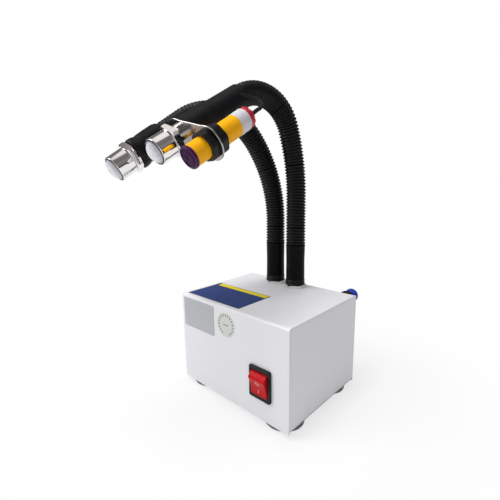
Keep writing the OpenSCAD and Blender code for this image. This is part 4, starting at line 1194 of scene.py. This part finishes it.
NUT_OUTLINE = around(turned_hex, HEX_POINTS)
NUT_EASE = 0.5
FLANGE_EASE = 0.4
FLANGE_REAR = RIGHT.sleeve - NUT_FLANGE_T
plate("sensor_nut_front", NUT_OUTLINE, [NUT_HOLE], BRACKET_FRONT, BRACKET_FRONT + NUT_T, NUT_EASE, SENSOR,
      "black", body="right_head", slot="black_plastic", sharp=20, replaces=("sensor_nuts",))
plate("sensor_nut_rear", NUT_OUTLINE, [NUT_HOLE], FLANGE_REAR - NUT_T, FLANGE_REAR + NUT_OVERLAP, NUT_EASE,
      SENSOR, "black", body="right_head", slot="black_plastic", sharp=20)
plate("sensor_nut_flange", circle(NUT_FLANGE_R, NUT_SIDES), [NUT_HOLE], FLANGE_REAR, RIGHT.sleeve,
      FLANGE_EASE, SENSOR, "black", body="right_head", slot="black_plastic", sharp=30)

# Barrel of the sensor with its thread, and the white band at its rear
END_CAP_LEN = 5.0
BARREL_REAR_R = 8.3
BARREL_CHAMFER = 0.5
BARREL_NOSE = (0.3, 0.8)
PLAIN_END = 11.8
THREAD_START = 12.0
THREAD_PITCH = 1.0
THREAD_DEPTH = 0.10
THREAD_SHORT = 1.6
BAND_START = 0.2
BAND_END = 11.0
BAND_PROUD = 0.16
BAND_SUNK = 0.1
BAND_EASE = 0.1
BARREL_REAR = SENSOR_REAR + END_CAP_LEN
BARREL_FRONT = SENSOR_FRONT - LENS_T


def make_barrel():
    nose_in, nose_len = BARREL_NOSE
    profile = [(0.0, BARREL_REAR), (BARREL_REAR_R, BARREL_REAR), (SENSOR_R, BARREL_REAR + BARREL_CHAMFER),
               (SENSOR_R, BARREL_REAR + PLAIN_END)]
    z = BARREL_REAR + THREAD_START
    while z < BARREL_FRONT - THREAD_SHORT:
        profile += [(SENSOR_R, z), (SENSOR_R - THREAD_DEPTH, z + THREAD_PITCH / 2)]
        z += THREAD_PITCH
    profile += [(SENSOR_R, BARREL_FRONT - nose_len), (SENSOR_R - nose_in, BARREL_FRONT), (0.0, BARREL_FRONT)]
    lathe("sensor_barrel", profile, SENSOR, "yellow", body="right_head",
          slot="sensor_yellow", sharp=50, replaces=("sensor_body",))


def make_band():
    inside = SENSOR_R - BAND_SUNK
    outside = SENSOR_R + BAND_PROUD
    start = BARREL_REAR + BAND_START
    end = BARREL_REAR + BAND_END
    profile = eased([(inside, start), (outside, start), (outside, end), (inside, end)], BAND_EASE)
    lathe("sensor_white_band", profile, SENSOR, "band", body="right_head", slot="sensor_yellow")


make_barrel()
make_band()

# Lens of the sensor: a rim, a sunk filter and two domed eyes on it
PANE = SENSOR_FRONT - 0.7
LENS_RIM = ((0.0, BARREL_FRONT), (LENS_R - 0.4, BARREL_FRONT), (LENS_R, BARREL_FRONT + 0.5),
            (LENS_R, SENSOR_FRONT - 0.6), (LENS_R - 0.7, SENSOR_FRONT), (LENS_R - 1.5, SENSOR_FRONT),
            (LENS_R - 1.8, PANE), (0.0, PANE))
LENS_EASE = 0.3
FILTER_R = LENS_R - 1.85
FILTER_REAR = SENSOR_FRONT - 0.72
FILTER_FACE = SENSOR_FRONT - 0.55
FILTER = ((0.0, FILTER_REAR), (FILTER_R, FILTER_REAR), (FILTER_R, SENSOR_FRONT - 0.62),
          (LENS_R - 2.0, FILTER_FACE), (0.0, FILTER_FACE))
EYE_R = 3.0
EYE_H = 0.5
EYE_OFF = 3.9
EYE_SIDES = 40
EYE_STEPS = 6
EYE_SEAT = SENSOR_FRONT - 0.62
EYE_REAR = ((0.0, SENSOR_FRONT - 0.9), (EYE_R, SENSOR_FRONT - 0.9), (EYE_R + 0.1, SENSOR_FRONT - 0.65))
lathe("sensor_lens_rim", eased(LENS_RIM, LENS_EASE, closed=False), SENSOR, "lens_rim", body="right_head",
      slot="lens_purple", sharp=50, replaces=("sensor_lens",))
lathe("sensor_filter", FILTER, SENSOR, "lens", sides=64, body="right_head", slot="lens_purple")


def make_eye(letter, across):
    profile = list(EYE_REAR)
    for k in range(EYE_STEPS):
        turn = pi / 2 * k / EYE_STEPS
        profile.append((EYE_R * cos(turn), EYE_SEAT + EYE_H * sin(turn)))
    profile.append((0.0, EYE_SEAT + EYE_H))
    lathe(f"sensor_eye_{letter}", profile, shifted(SENSOR, across), "lens", sides=EYE_SIDES,
          body="right_head", slot="lens_purple")


make_eye("a", -EYE_OFF)
make_eye("b", EYE_OFF)

# Red end cap of the sensor, with a ring of bumps and a pocket for the screw
BUMPS = 12
BUMP_DEPTH = 0.5
BUMP_POINTS = 8
POCKET_R = 2.15
POCKET_SIDES = 32
POCKET_OFF = 5.5
POCKET_TURN = radians(120)
SKIN_T = 2.6
SKIN_EASE = 0.5
SHELL_NECK_R = 8.5
SHELL_R = SENSOR_R + 0.05
SHELL_REAR = SENSOR_REAR + 2.4
SHELL = ((0.0, SHELL_REAR), (SHELL_NECK_R, SHELL_REAR), (SHELL_NECK_R, SENSOR_REAR + 3.4),
         (SHELL_R, SENSOR_REAR + 3.6), (SHELL_R, BARREL_REAR), (0.0, BARREL_REAR))
SHELL_EASE = 0.2


def bumpy(turn, inset):
    """Radius of an outline with a ring of bumps."""
    radius = SENSOR_R - BUMP_DEPTH * sin(BUMPS / 2 * turn) ** 2
    return radius * (1 - inset / SENSOR_R)


def make_end_cap():
    lathe("sensor_end_shell", eased(SHELL, SHELL_EASE, closed=False), SENSOR, "redcap",
          body="right_head", slot="cap_red")
    pocket = circle(POCKET_R, POCKET_SIDES, (POCKET_OFF * cos(POCKET_TURN), POCKET_OFF * sin(POCKET_TURN)))
    plate("sensor_end_cap_skin", around(bumpy, BUMP_POINTS * BUMPS), [pocket], SENSOR_REAR,
          SENSOR_REAR + SKIN_T, SKIN_EASE, SENSOR, "redcap", body="right_head", slot="cap_red", sharp=45,
          replaces=("sensor_end_cap",))


make_end_cap()

# Floor, pale under the part and plain white further out
FLOOR_HALF = 9
FLOOR_Z = -0.0002
FLOOR_COLOUR = (0.86, 0.86, 0.865, 1)
FLOOR_NEAR = 0.08
FLOOR_FAR = 0.30
WHITE_NEAR = 0.70


def floor_material():
    new = bpy.data.materials.new("pale_floor")
    new.use_nodes = True
    tree = new.node_tree
    tree.nodes.clear()
    where = node(tree, "ShaderNodeNewGeometry")
    distance = node(tree, "ShaderNodeVectorMath", {0: where.outputs["Position"]}, operation="LENGTH")
    whiteness = node(tree, "ShaderNodeMapRange", {
        "Value": distance.outputs["Value"], "From Min": FLOOR_NEAR, "From Max": FLOOR_FAR,
        "To Min": WHITE_NEAR, "To Max": 1.0}, interpolation_type="SMOOTHSTEP")
    seen_white = node(tree, "ShaderNodeMath", {0: whiteness, 1: seen_directly(tree)}, operation="MULTIPLY")
    pale = node(tree, "ShaderNodeBsdfDiffuse", {"Color": FLOOR_COLOUR})
    white = node(tree, "ShaderNodeEmission", {"Color": WHITE, "Strength": 1.0})
    mixed = node(tree, "ShaderNodeMixShader", {"Fac": seen_white, 1: pale, 2: white})
    node(tree, "ShaderNodeOutputMaterial", {"Surface": mixed})
    return new


def make_floor():
    mesh = bpy.data.meshes.new("floor")
    corners = [(x * FLOOR_HALF, y * FLOOR_HALF, FLOOR_Z) for x, y in ((-1, -1), (1, -1), (1, 1), (-1, 1))]
    mesh.from_pydata(corners, [], [(0, 1, 2, 3)])
    mesh.materials.append(floor_material())
    add("floor", mesh)


make_floor()

# World: soft light from all sides, white behind the part, and a sky of grey bands for reflections
AMBIENT = 0.37
AMBIENT_COLOUR = (1.0, 1.0, 1.01, 1)
SKY_BANDS = ((0.49, 1.0), (0.50, 0.06), (0.56, 0.06), (0.60, 0.20), (0.72, 0.24), (0.84, 0.17), (0.94, 0.20),
             (0.965, 0.92))
SKY_WARMTH = (1.0, 0.93, 0.91)


def make_world():
    world = bpy.data.worlds.new("studio")
    SCENE.world = world
    world.use_nodes = True
    tree = world.node_tree
    tree.nodes.clear()
    coords = node(tree, "ShaderNodeTexCoord")
    direction = node(tree, "ShaderNodeSeparateXYZ", {0: coords.outputs["Generated"]})
    height = node(tree, "ShaderNodeMapRange", {
        "Value": direction.outputs["Z"], "From Min": -1, "From Max": 1})
    sky = node(tree, "ShaderNodeValToRGB", {"Fac": height})
    bands = sky.color_ramp.elements
    bands[0].color = WHITE
    for position, grey in SKY_BANDS:
        bands.new(position).color = (*(grey * share for share in SKY_WARMTH), 1)
    path = node(tree, "ShaderNodeLightPath")
    reflected = node(tree, "ShaderNodeMix", {
        "Factor": path.outputs["Is Glossy Ray"], "A": WHITE, "B": sky}, data_type="RGBA")
    ambient = node(tree, "ShaderNodeBackground", {"Color": AMBIENT_COLOUR, "Strength": AMBIENT})
    shown = node(tree, "ShaderNodeBackground", {"Color": reflected.outputs["Result"], "Strength": 1.0})
    mixed = node(tree, "ShaderNodeMixShader", {"Fac": seen_directly(tree), 1: ambient, 2: shown})
    node(tree, "ShaderNodeOutputWorld", {"Surface": mixed})


make_world()


# Lamps
def lamp(name, place, target, power, width, length):
    data = bpy.data.lights.new(name, "AREA")
    data.energy = power
    data.shape = "RECTANGLE"
    data.size = width
    data.size_y = length
    light = add(name, data)
    light.location = place
    light.rotation_euler = (Vector(target) - Vector(place)).to_track_quat("-Z", "Y").to_euler()
    return light


KEY_PLACE = (-0.75, -0.95, 1.0)
KEY_TARGET = (0, -0.02, 0.1)
FILL_PLACE = (-0.1, -0.2, 1.4)
FILL_TARGET = (0, 0, 0.1)
lamp("key", KEY_PLACE, KEY_TARGET, power=8.4, width=0.7, length=0.7)
top_fill = lamp("top_fill", FILL_PLACE, FILL_TARGET, power=12.0, width=0.32, length=0.8)
top_fill.visible_glossy = False

# Bright metal throws no stray sparkle on the pieces round it
BRIGHT = {FINISH["chrome"], FINISH["nickel"], FINISH["steel"]}
for piece in SCENE.objects:
    if piece.type == "MESH" and BRIGHT & set(piece.data.materials):
        piece.visible_diffuse = False

SCENE.view_settings.view_transform = "Standard"
